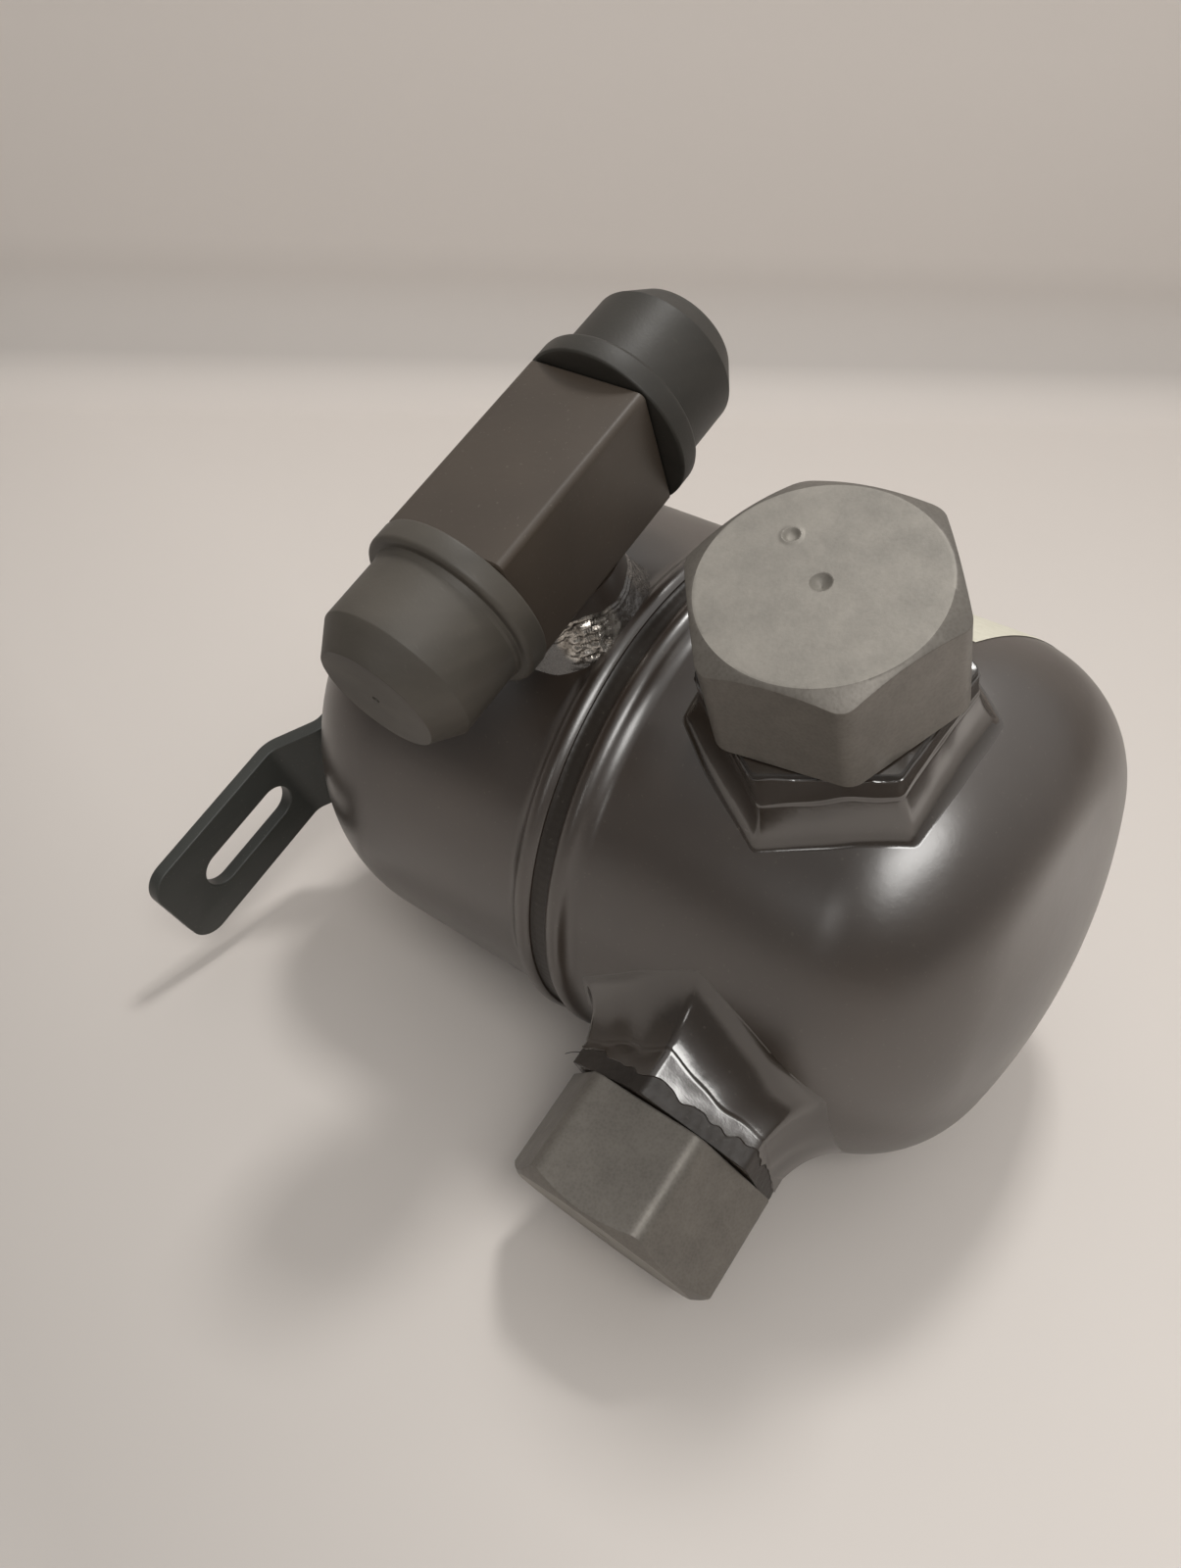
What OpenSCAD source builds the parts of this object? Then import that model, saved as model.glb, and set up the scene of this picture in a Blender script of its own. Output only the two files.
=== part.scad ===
// Oil separator: a welded pressure vessel of two drawn cups, lying on its side.
// Every piece is drawn in the vessel's own frame and then laid down by at_rest().
// Vessel frame: +X runs along the vessel axis to the large cup, +Z is the top port,
// -Y is the lower port, and x = 0 is the first ridge of the seam.

/* [Vessel] */
// Outer diameter of both cups
vessel_od = 126; // [120:1:132]
// Thickness of the drawn sheet
wall = 3; // [2:0.25:4]
// Length of the small cup, from the seam's first ridge to its flat end
small_length = 89.5; // [84:0.5:100]
// Outer radius where the small cup turns into its flat end
small_knuckle = 38; // [30:1:40]
// Length of the large cup, from the seam's first ridge to the top of its crown
large_length = 101.7; // [98:0.1:115]
// Outer radius where the large cup turns into its crowned end
large_knuckle = 32.6; // [26:0.2:36]
// How far the crown stands out past the end of that radius
large_crown = 4.2; // [2:0.1:8]

/* [Seam] */
// How far the two seam ridges stand out of the cups
ridge_height = 2.4; // [1:0.1:3]
// Distance between the two ridges
seam_width = 9; // [8:0.5:12]
// Length of the small cup's rim that is pushed into the large cup
lap_length = 13; // [10:1:14]

/* [Hex ports] */
// Distance of the top port from the seam's first ridge
top_port_x = 49.5; // [48:0.5:51]
// Distance of the lower port from the seam's first ridge
lower_port_x = 47; // [47:0.5:50]
// Size across flats of the plugs and their bosses
hex_flats = 46; // [42:1:48]
// Distance from the vessel axis to the bosses' outer faces
boss_reach = 77.4; // [75:0.1:82]
// Length of a plug's hexagon
plug_length = 25.4; // [20:0.1:30]
// Gap left between plug and boss, where the paint has torn
plug_gap = 0.4; // [0.2:0.1:0.8]
// Thread's outer diameter
thread_d = 33; // [30:1:34]
// Thread's pitch
thread_pitch = 2; // [1.5:0.5:3]
// Turns that free a plug
thread_turns = 8; // [5:1:8]
// Angle of the top plug's corner from +X towards +Y
top_plug_turn = 8; // [0:1:59]
// Angle of the top boss's corner
top_boss_turn = 27; // [0:1:59]
// Angle of the lower boss's corner, its plug has a corner at 0
lower_boss_turn = 33; // [0:1:59]
// How far the welds climb up the bosses' sides
boss_weld_rise = 9; // [4:0.5:10]
// How far the weld round the top boss spreads over the cup
top_weld_spread = 5.5; // [3:0.5:6]
// How far the weld round the lower boss spreads over the cup
lower_weld_spread = 8; // [4:0.5:8]

/* [Port block] */
// Side of the square bar
block_side = 28.9; // [26:0.1:32]
// Length of the square bar
block_length = 47.4; // [40:0.2:60]
// Distance of the block's middle from the seam's first ridge
block_x = -16.8; // [-22:0.1:-14]
// Distance of the block's middle from the vessel axis
block_reach = 93; // [90:0.5:100]
// Radius of the bar's long edges
block_edge = 1.6; // [0.5:0.1:3]
// Outer diameter of the turned spigots under the caps
spigot_d = 26; // [22:0.5:28]
// Length of each spigot
spigot_length = 20; // [14:0.5:24]
// Bore through the block
block_bore_d = 15; // [10:0.5:18]
// Outer diameter of the stub that carries the block
stub_d = 29; // [24:0.5:29]
// Leg of the weld round the stub
stub_weld_leg = 3.5; // [2:0.5:5]

/* [Port caps] */
// Diameter of a cap's body
cap_d = 34.3; // [30:0.1:37]
// Diameter of a cap's collar
collar_d = 39.6; // [36:0.1:42]
// Width of the collar
collar_width = 5.4; // [4:0.1:8]
// Length of a cap
cap_length = 27.9; // [24:0.1:34]
// Diameter of a cap's flat face
cap_face_d = 26; // [18:0.5:28]
// Length of the slope between body and face
cap_slope = 6.4; // [3:0.1:7]

/* [Bracket] */
// Width of the strip
strip_width = 31.4; // [26:0.2:34]
// Thickness of the strip
strip_t = 4; // [3:0.5:5]
// Distance from the vessel axis to the bracket's tip
bracket_reach = 100.5; // [94:0.5:104]
// How far the slotted leg stands off from the welded leg
bracket_offset = 8.9; // [6:0.1:16]
// Angle of the leg between them
bracket_angle = 34.5; // [25:0.5:45]
// Length of the welded leg on the near side of the axis
welded_leg = 35.5; // [30:0.5:38]
// Width of the slot
slot_width = 11; // [8:0.5:13]
// Length of the slot from end to end
slot_length = 33; // [24:0.5:33]
// Distance from the slot's outer end to the bracket's tip
slot_margin = 12.7; // [8:0.1:14]
// Radius of the tip's corners
tip_radius = 7; // [2:0.5:9]

/* [Inside] */
// Outer diameter of the outlet tube
outlet_tube_d = 28; // [24:0.5:28]
// Outer diameter of the oil tube
oil_tube_d = 8; // [6:0.5:8]
// Thickness of the mesh pad
pad_thickness = 9.4; // [6:0.1:9.4]
// Diameter of the float
float_d = 28; // [22:1:30]

/* [Hidden] */
$fn = 96;

paint = [0.17, 0.155, 0.145];
bare_steel = [0.62, 0.61, 0.59];
phosphate = [0.31, 0.30, 0.285];
cap_black = [0.15, 0.148, 0.14];
copper = [0.66, 0.36, 0.24];
wire = [0.7, 0.69, 0.66];
rubber = [0.12, 0.12, 0.12];

// Vessel
vessel_r = vessel_od / 2;
inner_r = vessel_r - wall;
ridge_r = vessel_r + ridge_height;
ridge_top_r = 3.2;
ridge_foot_r = 5;
ridge_arms = ridge_top_r + ridge_foot_r;
ridge_turn = acos(1 - ridge_height / ridge_arms);
// Half width of a ridge, from its top to the tangent point of its foot
ridge_half = ridge_arms * sin(ridge_turn);
seam_edge = 2.2;
bead_r = 2.2;
bead_centre_r = ridge_r - 3.2;
bead_floor_r = ridge_r - 1.4;
// Steps of the round stretches, in degrees, and of the crown
knuckle_step = 7.5;
ridge_step = 12;
crown_steps = 3;
lap_clearance = 0.1;
// Where the small cup's wall starts to step inwards to the lap
inner_step = 4;

// Hex ports
hex_half = hex_flats / 2;
hex_corner_r = hex_half / cos(30);
// Drawn hexagon bar has slightly rounded corners
corner_cut_r = hex_corner_r - 0.75;
chamfer_drop = 1.7;
plug_base = boss_reach + plug_gap;
plug_face = plug_base + plug_length;
thread_depth = 1.1;
thread_clearance = 0.15;
shank_r = thread_d / 2 - thread_depth;
shank_length = thread_pitch * thread_turns;
bore_r = thread_d / 2 + thread_clearance;
shank_chamfer = 1.2;
seal_thickness = 1.45;
// Play between the washer and the plug that turns on it
seal_play = 0.05;
seal_floor = plug_base - seal_thickness - seal_play;
seal_r = 19;
seal_recess_r = seal_r + 0.3;
pilot_r = 20;
pilot_clearance = 0.05;
pilot_end = 56.5;
// Level below the cup's wall where a boss's hexagon starts
boss_root = 40;
// Centre mark and the nick beside it on the top plug's face
mark_depth = 1.2;
mark_r = 1.4;
nick_at = [-9.9, 7.0];
nick_depth = 0.8;
nick_r = 1.3;
outlet_wall = 1.5;
outlet_r = outlet_tube_d / 2;
outlet_bore_r = outlet_r - outlet_wall;
thread_floor = 60.3;

// Port block
block_bottom = block_reach - block_side / 2;
stub_bore_r = 6;
stub_r = stub_d / 2 - 0.2;
cap_gap = 0.3;
cap_base = block_length / 2 + 0.2;
cap_seat = spigot_length + 0.8;
collar_slope = 1.1;
collar_rim = 0.6;
cap_mark_r = 1;
cap_mark_depth = 0.6;

// Weld rings
weld_steps = 48;
weld_arc_steps = 4;
weld_sink = 0.3;

// Bracket
bend_r = 8;
bend_step = 8.625;
end_x = -small_length;
slope_run = (bracket_offset - 2 * bend_r * (1 - cos(bracket_angle))) / sin(bracket_angle);
// Bend centres: the first bend turns away from the vessel, the second turns back
bend_1 = [welded_leg, bend_r];
bend_2 = bend_1 + 2 * bend_r * [sin(bracket_angle), -cos(bracket_angle)]
    + slope_run * [cos(bracket_angle), sin(bracket_angle)];
far_leg = 17;
slot_plane = end_x - strip_t / 2 - bracket_offset;
bracket_weld_leg = 2.6;
bracket_weld_half = 14;

// Inside
sheet_t = 1.5;
elbow_r = 19;
outlet_end_x = 4;
baffle_z = 43;
baffle_leg_width = 10;
baffle_size = [38, 34];
baffle_corner = 6;
screen_t = 1;
pack_r = inner_r - 0.3;
pack_bore = outlet_r + 0.2;
rear_screen_x = lap_length + 0.2;
pad_x = rear_screen_x + screen_t;
front_screen_x = pad_x + pad_thickness;
// Radius of each ring of holes and how many it has
hole_rings = [[21, 10], [31, 16], [41, 22], [51, 28]];
screen_hole_r = 2.8;
ring_wire_r = 1;
ring_gap_angle = 30;

// Float valve at the small end
oil_r = oil_tube_d / 2;
oil_bore = oil_r - 1;
oil_bend = 12;
oil_line = 38;
oil_rise = 18;
valve_x = -69;
valve_length = 12;
valve_half = 6;
socket_depth = 7;
nozzle_r = 2.5;
nozzle_length = 1;
orifice_r = 1;
pin_r = 1.5;
pin_clearance = 0.06;
pin_x = valve_x - 5;
pin_z = oil_line - 10;
ear_in = 3.6;
ear_out = 6.5;
ear_r = 3.2;
valve_pad_t = 1.2;
valve_pad_r = 2.9;
pad_face_x = valve_x - 1.2;
pad_back_x = pad_face_x - valve_pad_t;
arm_t = 1.6;
arm_half = 3;
arm_hub_r = 2.8;
arm_top = 12.5;
ball_x = -58;
ball_z = -16;
ball_wall = 0.6;

// Pose: the part lies on the seam's ridge and on the lower plug's edge
lay_angle = asin(ridge_r / norm([plug_face, hex_half])) - atan2(hex_half, plug_face);
low_y = -(plug_face * cos(lay_angle) + hex_half * sin(lay_angle));
high_y = ridge_r;
low_x = slot_plane - strip_t / 2;
high_x = large_length;

// Lays a piece from the vessel's frame onto the table, under the middle of the whole part
module at_rest() {
    translate([-(low_x + high_x) / 2, -(low_y + high_y) / 2, ridge_r])
        rotate([lay_angle, 0, 0])
            children();
}

// Turns a solid of revolution about Z into one about the vessel axis
module along_x() {
    rotate([0, 90, 0]) children();
}

// Port frames: local +Z runs out of the port from the vessel axis
module at_top_port() {
    translate([top_port_x, 0, 0]) children();
}

module at_lower_port() {
    translate([lower_port_x, 0, 0]) rotate([90, 0, 0]) children();
}

// Block frame: local +Z runs along the bar towards the near cap
module at_block() {
    translate([block_x, 0, block_reach]) rotate([90, 0, 0]) children();
}

// Points of an arc round a centre, from one angle to another
function arc(centre, r, from, to, step) =
    let (count = max(1, round(abs(to - from) / step)))
    [for (i = [0 : count]) let (a = from + (to - from) * i / count) centre + r * [cos(a), sin(a)]];

// Rounded end of a cup's half profile, from its straight wall to the axis
function cup_end(radius, length, knuckle, crown) =
    let (head = knuckle + crown,
        crown_r = (pow(radius - knuckle, 2) + pow(head, 2) - pow(knuckle, 2)) / (2 * max(crown, 0.001)),
        turn = crown > 0 ? asin((radius - knuckle) / (crown_r - knuckle)) : 0)
    concat(
        arc([radius - knuckle, length - head], knuckle, 0, 90 - turn, knuckle_step),
        crown > 0 ? [for (i = [1 : crown_steps])
            let (a = turn * (1 - i / crown_steps)) [crown_r * sin(a), length - crown_r * (1 - cos(a))]]
            : [[0, length]]);

// Half profile of a ridge on a cup's outside: its top at height 0, its foot at ridge_half
function ridge_outline(edge) = concat(
    arc([ridge_r - ridge_top_r, 0], ridge_top_r, -asin(edge / ridge_top_r), ridge_turn, ridge_step),
    arc([vessel_r + ridge_foot_r, ridge_half], ridge_foot_r, 180 + ridge_turn - ridge_step, 180,
        ridge_step));

module large_outer() {
    along_x() rotate_extrude()
        polygon(concat([[0, 0], [vessel_r, 0]],
            cup_end(vessel_r, large_length, large_knuckle, large_crown)));
}

module small_outer() {
    rotate([0, -90, 0]) rotate_extrude() polygon(concat(
        [[0, -seam_edge]], ridge_outline(seam_edge),
        cup_end(vessel_r, small_length, small_knuckle, 0)));
}

// The small cup's profile is drawn with its end towards +y, the lap runs to -y
module small_shell() at_rest() color(paint) {
    lap_r = inner_r - lap_clearance;
    difference() {
        rotate([0, -90, 0]) rotate_extrude() polygon(concat(
            [[inner_r - wall, -lap_length], [lap_r, -lap_length], [lap_r, -seam_edge]],
            ridge_outline(seam_edge),
            cup_end(vessel_r, small_length, small_knuckle, 0),
            [[0, small_length - wall]],
            reversed(cup_end(inner_r, small_length - wall, small_knuckle - wall, 0)),
            [[inner_r, inner_step + wall], [inner_r - wall, inner_step]]));
        // Hole for the oil tube under the stub
        translate([block_x, 0, inner_r - 5]) cylinder(r = oil_r + pilot_clearance, h = wall + 10);
    }
}

module large_shell() at_rest() color(paint) {
    difference() {
        along_x() rotate_extrude() polygon(concat(
            [[inner_r, seam_width - seam_edge]],
            [for (p = ridge_outline(seam_edge)) p + [0, seam_width]],
            cup_end(vessel_r, large_length, large_knuckle, large_crown),
            reversed(cup_end(inner_r, large_length - wall, large_knuckle - wall, large_crown))));
        at_top_port() pilot_hole();
        at_lower_port() pilot_hole();
    }
}

function reversed(list) = [for (i = [len(list) - 1 : -1 : 0]) list[i]];

module pilot_hole() {
    translate([0, 0, inner_r - 12]) cylinder(r = pilot_r + pilot_clearance, h = wall + 20);
}

// Low weld bead that fills the groove between the two rims
module seam_weld() at_rest() color(paint) {
    along_x() rotate_extrude() {
        translate([inner_r, seam_edge])
            square([bead_floor_r - inner_r, seam_width - 2 * seam_edge]);
        translate([bead_centre_r, seam_width / 2]) circle(r = bead_r);
    }
}

module hex_prism(low, high, turn) {
    rotate([0, 0, turn]) translate([0, 0, low])
        cylinder(r = hex_corner_r, h = high - low, $fn = 6);
}

// Hexagon outside the cup, and a bored pilot that reaches through its wall
module port_boss(turn, port_x) {
    difference() {
        intersection() {
            hex_prism(boss_root, boss_reach, turn);
            cylinder(r = corner_cut_r, h = boss_reach + 1);
        }
        translate([-port_x, 0, 0]) large_outer();
        translate([0, 0, boss_root - 1]) cylinder(r = pilot_r - 0.5, h = boss_reach);
    }
    difference() {
        translate([0, 0, pilot_end]) cylinder(r = pilot_r, h = boss_reach - pilot_end);
        translate([0, 0, pilot_end - 1]) cylinder(r = outlet_bore_r, h = boss_reach);
        translate([0, 0, thread_floor]) cylinder(r = bore_r, h = boss_reach);
        translate([0, 0, seal_floor]) cylinder(r = seal_recess_r, h = boss_reach);
    }
}

module top_boss() at_rest() color(paint) {
    at_top_port() port_boss(top_boss_turn, top_port_x);
}

module lower_boss() at_rest() color(paint) {
    at_lower_port() port_boss(lower_boss_turn, lower_port_x);
}

// Radius of the large cup's outside at a distance x from the seam
function cup_radius(x) =
    let (start = large_length - large_knuckle - large_crown, run = max(0, x - start))
    vessel_r - large_knuckle + sqrt(pow(large_knuckle, 2) - pow(run, 2));

// Height of a cup's outside over the vessel axis, at a point of a port's or the stub's frame
function skin(x, y, origin_x) = sqrt(pow(cup_radius(x + origin_x), 2) - y * y);

// Radius of the hexagon's outline at an angle
function hex_outline(a, turn) =
    min(corner_cut_r, hex_half / cos((a - turn + 720) % 60 - 30));

function polar(r, a) = [r * cos(a), r * sin(a)];

// One point of a weld's section: t runs from 0 at the toe to 90 at the top
function weld_point(r, a, spread, rise, origin_x, t) =
    let (p = polar(r + spread * (1 - sin(t)), a))
    [p.x, p.y, skin(p.x, p.y, origin_x) + rise * (1 - cos(t))];

// Section of the weld at one angle: the concave face, then the three sunk root points
function weld_section(r, a, spread, rise, origin_x) =
    let (root = r - weld_sink, down = [0, 0, -weld_sink])
    concat(
        [for (i = [0 : weld_arc_steps])
            weld_point(r, a, spread, rise, origin_x, i * 90 / weld_arc_steps)],
        [weld_point(root, a, spread, rise, origin_x, 90)],
        [weld_point(root, a, spread, 0, origin_x, 90) + down],
        [weld_point(r, a, spread, rise, origin_x, 0) + down]);

// Closed ring that joins a list of sections of equal length
module section_ring(sections) {
    count = len(sections);
    size = len(sections[0]);
    polyhedron(
        points = [for (s = sections) for (p = s) p],
        faces = [for (i = [0 : count - 1]) for (j = [0 : size - 1])
            let (a = i * size, b = ((i + 1) % count) * size, k = (j + 1) % size)
            for (half = [0, 1])
                half == 0 ? [a + j, a + k, b + k] : [a + j, b + k, b + j]]);
}

module boss_weld(turn, spread, port_x) {
    section_ring([for (i = [0 : weld_steps - 1])
        let (a = i * 360 / weld_steps)
        weld_section(hex_outline(a, turn), a, spread, boss_weld_rise, port_x)]);
}

module top_boss_weld() at_rest() color(paint) {
    at_top_port() boss_weld(top_boss_turn, top_weld_spread, top_port_x);
}

module lower_boss_weld() at_rest() color(paint) {
    at_lower_port() boss_weld(lower_boss_turn, lower_weld_spread, lower_port_x);
}

// Flat sealing washer in the boss's recess
module port_seal() {
    difference() {
        translate([0, 0, seal_floor]) cylinder(r = seal_r, h = seal_thickness);
        cylinder(r = bore_r + 0.3, h = plug_base + 1);
    }
}

module top_seal() at_rest() color(copper) {
    at_top_port() port_seal();
}

module lower_seal() at_rest() color(copper) {
    at_lower_port() port_seal();
}

// Hexagon plug with a turned chamfer, a centre mark and a plain shank for the thread
module port_plug(turn, nick) {
    difference() {
        union() {
            intersection() {
                hex_prism(plug_base, plug_face, turn);
                rotate_extrude() polygon([
                    [0, plug_base - 1], [corner_cut_r, plug_base - 1],
                    [corner_cut_r, plug_face - chamfer_drop],
                    [hex_half, plug_face], [0, plug_face]]);
            }
            rotate_extrude() polygon([
                [0, plug_base - shank_length], [shank_r - shank_chamfer, plug_base - shank_length],
                [shank_r, plug_base - shank_length + shank_chamfer], [shank_r, plug_base + 1],
                [0, plug_base + 1]]);
        }
        face_mark([0, 0], mark_depth, 0.2, mark_r);
        if (nick) face_mark(nick_at, nick_depth, 0.5, nick_r);
    }
}

// Punch mark in a plug's face
module face_mark(at, depth, tip_r, r) {
    translate([at.x, at.y, plug_face - depth]) cylinder(r1 = tip_r, r2 = r, h = depth + 0.01);
}

module top_plug() at_rest() color(phosphate) {
    at_top_port() port_plug(top_plug_turn, true);
}

module lower_plug() at_rest() color(phosphate) {
    at_lower_port() port_plug(0, false);
}

module rounded_square(side, r) {
    square([side, side - 2 * r], center = true);
    square([side - 2 * r, side], center = true);
    for (x = [-1, 1]) for (y = [-1, 1])
        translate([x, y] * (side / 2 - r)) circle(r);
}

// Square bar with a turned spigot at each end, bored through and down into the stub
module port_block() at_rest() color(paint) {
    at_block() difference() {
        union() {
            linear_extrude(block_length, center = true) rounded_square(block_side, block_edge);
            cylinder(d = spigot_d, h = block_length + 2 * spigot_length, center = true);
        }
        cylinder(d = block_bore_d, h = block_length + 2 * spigot_length + 2, center = true);
        rotate([90, 0, 0]) cylinder(r = stub_bore_r, h = block_side);
    }
}

module block_stub() at_rest() color(paint) {
    difference() {
        translate([block_x, 0, vessel_r - 6]) cylinder(r = stub_r, h = block_bottom - vessel_r + 6);
        small_outer();
        translate([block_x, 0, 0]) cylinder(r = stub_bore_r, h = block_reach);
    }
}

module stub_weld() at_rest() color(paint) {
    translate([block_x, 0, 0]) section_ring([for (i = [0 : weld_steps - 1])
        weld_section(stub_r, i * 360 / weld_steps, stub_weld_leg, stub_weld_leg, block_x)]);
}

// Push-on cap: collar, body, sloped nose and a small moulding mark
module port_cap() {
    difference() {
        rotate_extrude() polygon([
            [0, 0], [collar_d / 2 - collar_rim, 0], [collar_d / 2, collar_rim],
            [collar_d / 2, collar_width - collar_slope], [collar_d / 2 - collar_slope, collar_width],
            [cap_d / 2, collar_width], [cap_d / 2, cap_length - cap_slope],
            [cap_face_d / 2, cap_length], [0, cap_length]]);
        translate([0, 0, -1]) cylinder(r = spigot_d / 2 + cap_gap, h = cap_seat + 1);
        translate([0, 0, cap_length - cap_mark_depth]) cylinder(r = cap_mark_r, h = 1);
    }
}

module near_cap() at_rest() color(cap_black) {
    at_block() translate([0, 0, cap_base]) port_cap();
}

module far_cap() at_rest() color(cap_black) {
    at_block() mirror([0, 0, 1]) translate([0, 0, cap_base]) port_cap();
}

// One side of the bent strip's edge, at a distance from its middle line
function strip_side(offset) = concat(
    [[-far_leg, offset]],
    arc(bend_1, bend_r - offset, -90, bracket_angle - 90, bend_step),
    arc(bend_2, bend_r + offset, bracket_angle + 90, 90, bend_step),
    [[bracket_reach, bracket_offset + offset]]);

// Edge outline of the bent strip, drawn with +x away from the vessel axis and y off its end
module bracket_outline() {
    translate([0, strip_t / 2])
        polygon(concat(strip_side(-strip_t / 2), reversed(strip_side(strip_t / 2))));
}

// Flat blank of the strip, seen from the end, with its rounded tip
module strip_face() {
    translate([-far_leg, -strip_width / 2])
        square([far_leg + bracket_reach - tip_radius, strip_width]);
    translate([bracket_reach - tip_radius, -strip_width / 2 + tip_radius])
        square([tip_radius, strip_width - 2 * tip_radius]);
    for (side = [-1, 1])
        translate([bracket_reach - tip_radius, side * (strip_width / 2 - tip_radius)])
            circle(tip_radius);
}

// Bracket frame: local x runs down the strip (-Y), local y off the end (-X), local z is up
module at_bracket() {
    translate([end_x, 0, 0]) rotate([0, 0, -90]) mirror([0, 1, 0]) children();
}

module bracket() at_rest() color(paint) {
    at_bracket() difference() {
        intersection() {
            translate([0, 0, -strip_width / 2]) linear_extrude(strip_width) bracket_outline();
            rotate([-90, 0, 0]) linear_extrude(bracket_offset + strip_t) strip_face();
        }
        rotate([-90, 0, 0]) {
            for (end = [slot_margin + slot_width / 2, slot_margin + slot_length - slot_width / 2])
                translate([bracket_reach - end, 0, 1])
                    cylinder(d = slot_width, h = bracket_offset + strip_t);
            translate([bracket_reach - slot_margin - slot_length + slot_width / 2, -slot_width / 2, 1])
                cube([slot_length - slot_width, slot_width, bracket_offset + strip_t]);
        }
    }
}

// Two fillet welds along the strip's long edges, on the flat of the small cup
module bracket_weld() at_rest() color(paint) {
    for (side = [-1, 1])
        translate([end_x, bracket_weld_half, side * strip_width / 2]) rotate([90, 0, 0])
            linear_extrude(2 * bracket_weld_half)
                polygon(bracket_weld_leg * [[0, 0], [-1, 0], [-0.7, side * 0.5],
                    [-0.3, side * 0.85], [0, side]]);
}

// Outlet tube: from the top boss down to the axis, then through the pad
module outlet_tube() at_rest() color(bare_steel) {
    at_top_port() {
        translate([0, 0, elbow_r]) tube(outlet_r, outlet_bore_r, pilot_end - elbow_r);
        translate([-elbow_r, 0, elbow_r]) elbow(elbow_r, outlet_r, outlet_bore_r);
        translate([-elbow_r, 0, 0]) rotate([0, -90, 0])
            tube(outlet_r, outlet_bore_r, top_port_x - elbow_r - outlet_end_x);
    }
}

// Quarter bend from +Z down to -X, with its centre at the origin
module elbow(bend, outer, inner) {
    rotate([90, 0, 0]) rotate([0, 0, -90])
        rotate_extrude(angle = 90) translate([bend, 0]) tube_ring(outer, inner);
}

module tube_ring(outer, inner) {
    difference() {
        circle(outer);
        circle(inner);
    }
}

module tube(outer, inner, length) {
    linear_extrude(length) tube_ring(outer, inner);
}

// Baffle in front of the lower port, on two legs that stand on the boss's inner end
module inlet_deflector() at_rest() color(bare_steel) {
    leg_x = bore_r + 1 + sheet_t / 2;
    at_lower_port() {
        for (side = [-1, 1])
            translate([side * leg_x, 0, (baffle_z + pilot_end) / 2])
                cube([sheet_t, baffle_leg_width, pilot_end - baffle_z], center = true);
        translate([0, 0, baffle_z - sheet_t]) linear_extrude(sheet_t)
            rounded_rect(baffle_size.x, baffle_size.y, baffle_corner);
    }
}

module rounded_rect(length, width, r) {
    square([length, width - 2 * r], center = true);
    square([length - 2 * r, width], center = true);
    for (x = [-1, 1]) for (y = [-1, 1])
        translate([x * (length / 2 - r), y * (width / 2 - r)]) circle(r);
}

module screen_disc(x) {
    translate([x, 0, 0]) along_x() linear_extrude(screen_t) difference() {
        tube_ring(pack_r, pack_bore);
        for (ring = hole_rings) for (i = [1 : ring[1]])
            rotate(i * 360 / ring[1]) translate([ring[0], 0]) circle(screen_hole_r, $fn = 24);
    }
}

module front_screen() at_rest() color(bare_steel) {
    screen_disc(front_screen_x);
}

module rear_screen() at_rest() color(bare_steel) {
    screen_disc(rear_screen_x);
}

module mesh_pad() at_rest() color(wire) {
    translate([pad_x, 0, 0]) along_x() tube(pack_r, pack_bore, pad_thickness);
}

// Split wire ring that holds the pack against the small cup's rim
module retaining_ring() at_rest() color(bare_steel) {
    translate([front_screen_x + screen_t + ring_wire_r, 0, 0]) along_x() rotate([0, 0, 20])
        rotate_extrude(angle = 360 - ring_gap_angle)
            translate([pack_r - ring_wire_r, 0]) circle(ring_wire_r);
}

// Oil tube: up through the stub, its other end in the valve at the small end
module oil_tube() at_rest() color(bare_steel) {
    translate([block_x, 0, oil_line + oil_bend]) {
        tube(oil_r, oil_bore, oil_rise);
        translate([-oil_bend, 0, 0]) elbow(oil_bend, oil_r, oil_bore);
        translate([-oil_bend, 0, -oil_bend]) rotate([0, -90, 0])
            tube(oil_r, oil_bore, block_x - oil_bend - valve_x - socket_depth);
    }
}

// Side view of one ear of the valve body, in the plane of x and z
module ear_outline() {
    translate([pin_x, pin_z]) circle(ear_r);
    polygon([[pin_x - ear_r, pin_z], [pin_x + ear_r, pin_z], [valve_x + 5, oil_line - valve_half],
        [valve_x + 5, oil_line + 2], [valve_x, oil_line + 2]]);
}

// Pin across the valve, with its middle on the pivot
module across_pivot(r, length) {
    translate([pin_x, 0, pin_z]) rotate([90, 0, 0]) cylinder(r = r, h = length, center = true);
}

// Valve body: socket for the oil tube, seat with a small orifice, two ears for the pin
module valve_body() at_rest() color(bare_steel) {
    difference() {
        union() {
            translate([valve_x, -ear_out, oil_line - valve_half])
                cube([valve_length, 2 * ear_out, 2 * valve_half]);
            for (side = [-1, 1])
                translate([0, side * (ear_in + ear_out) / 2, 0]) rotate([90, 0, 0])
                    linear_extrude(ear_out - ear_in, center = true) ear_outline();
            translate([valve_x - nozzle_length, 0, oil_line]) along_x()
                cylinder(r = nozzle_r, h = nozzle_length + 1);
        }
        translate([valve_x + valve_length - socket_depth, 0, oil_line]) along_x()
            cylinder(r = oil_r, h = valve_length);
        translate([valve_x - 2, 0, oil_line]) along_x() cylinder(r = orifice_r, h = valve_length);
        across_pivot(pin_r, 4 * ear_out);
    }
}

module pivot_pin() at_rest() color(bare_steel) {
    across_pivot(pin_r, 2 * ear_out + 1);
}

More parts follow.
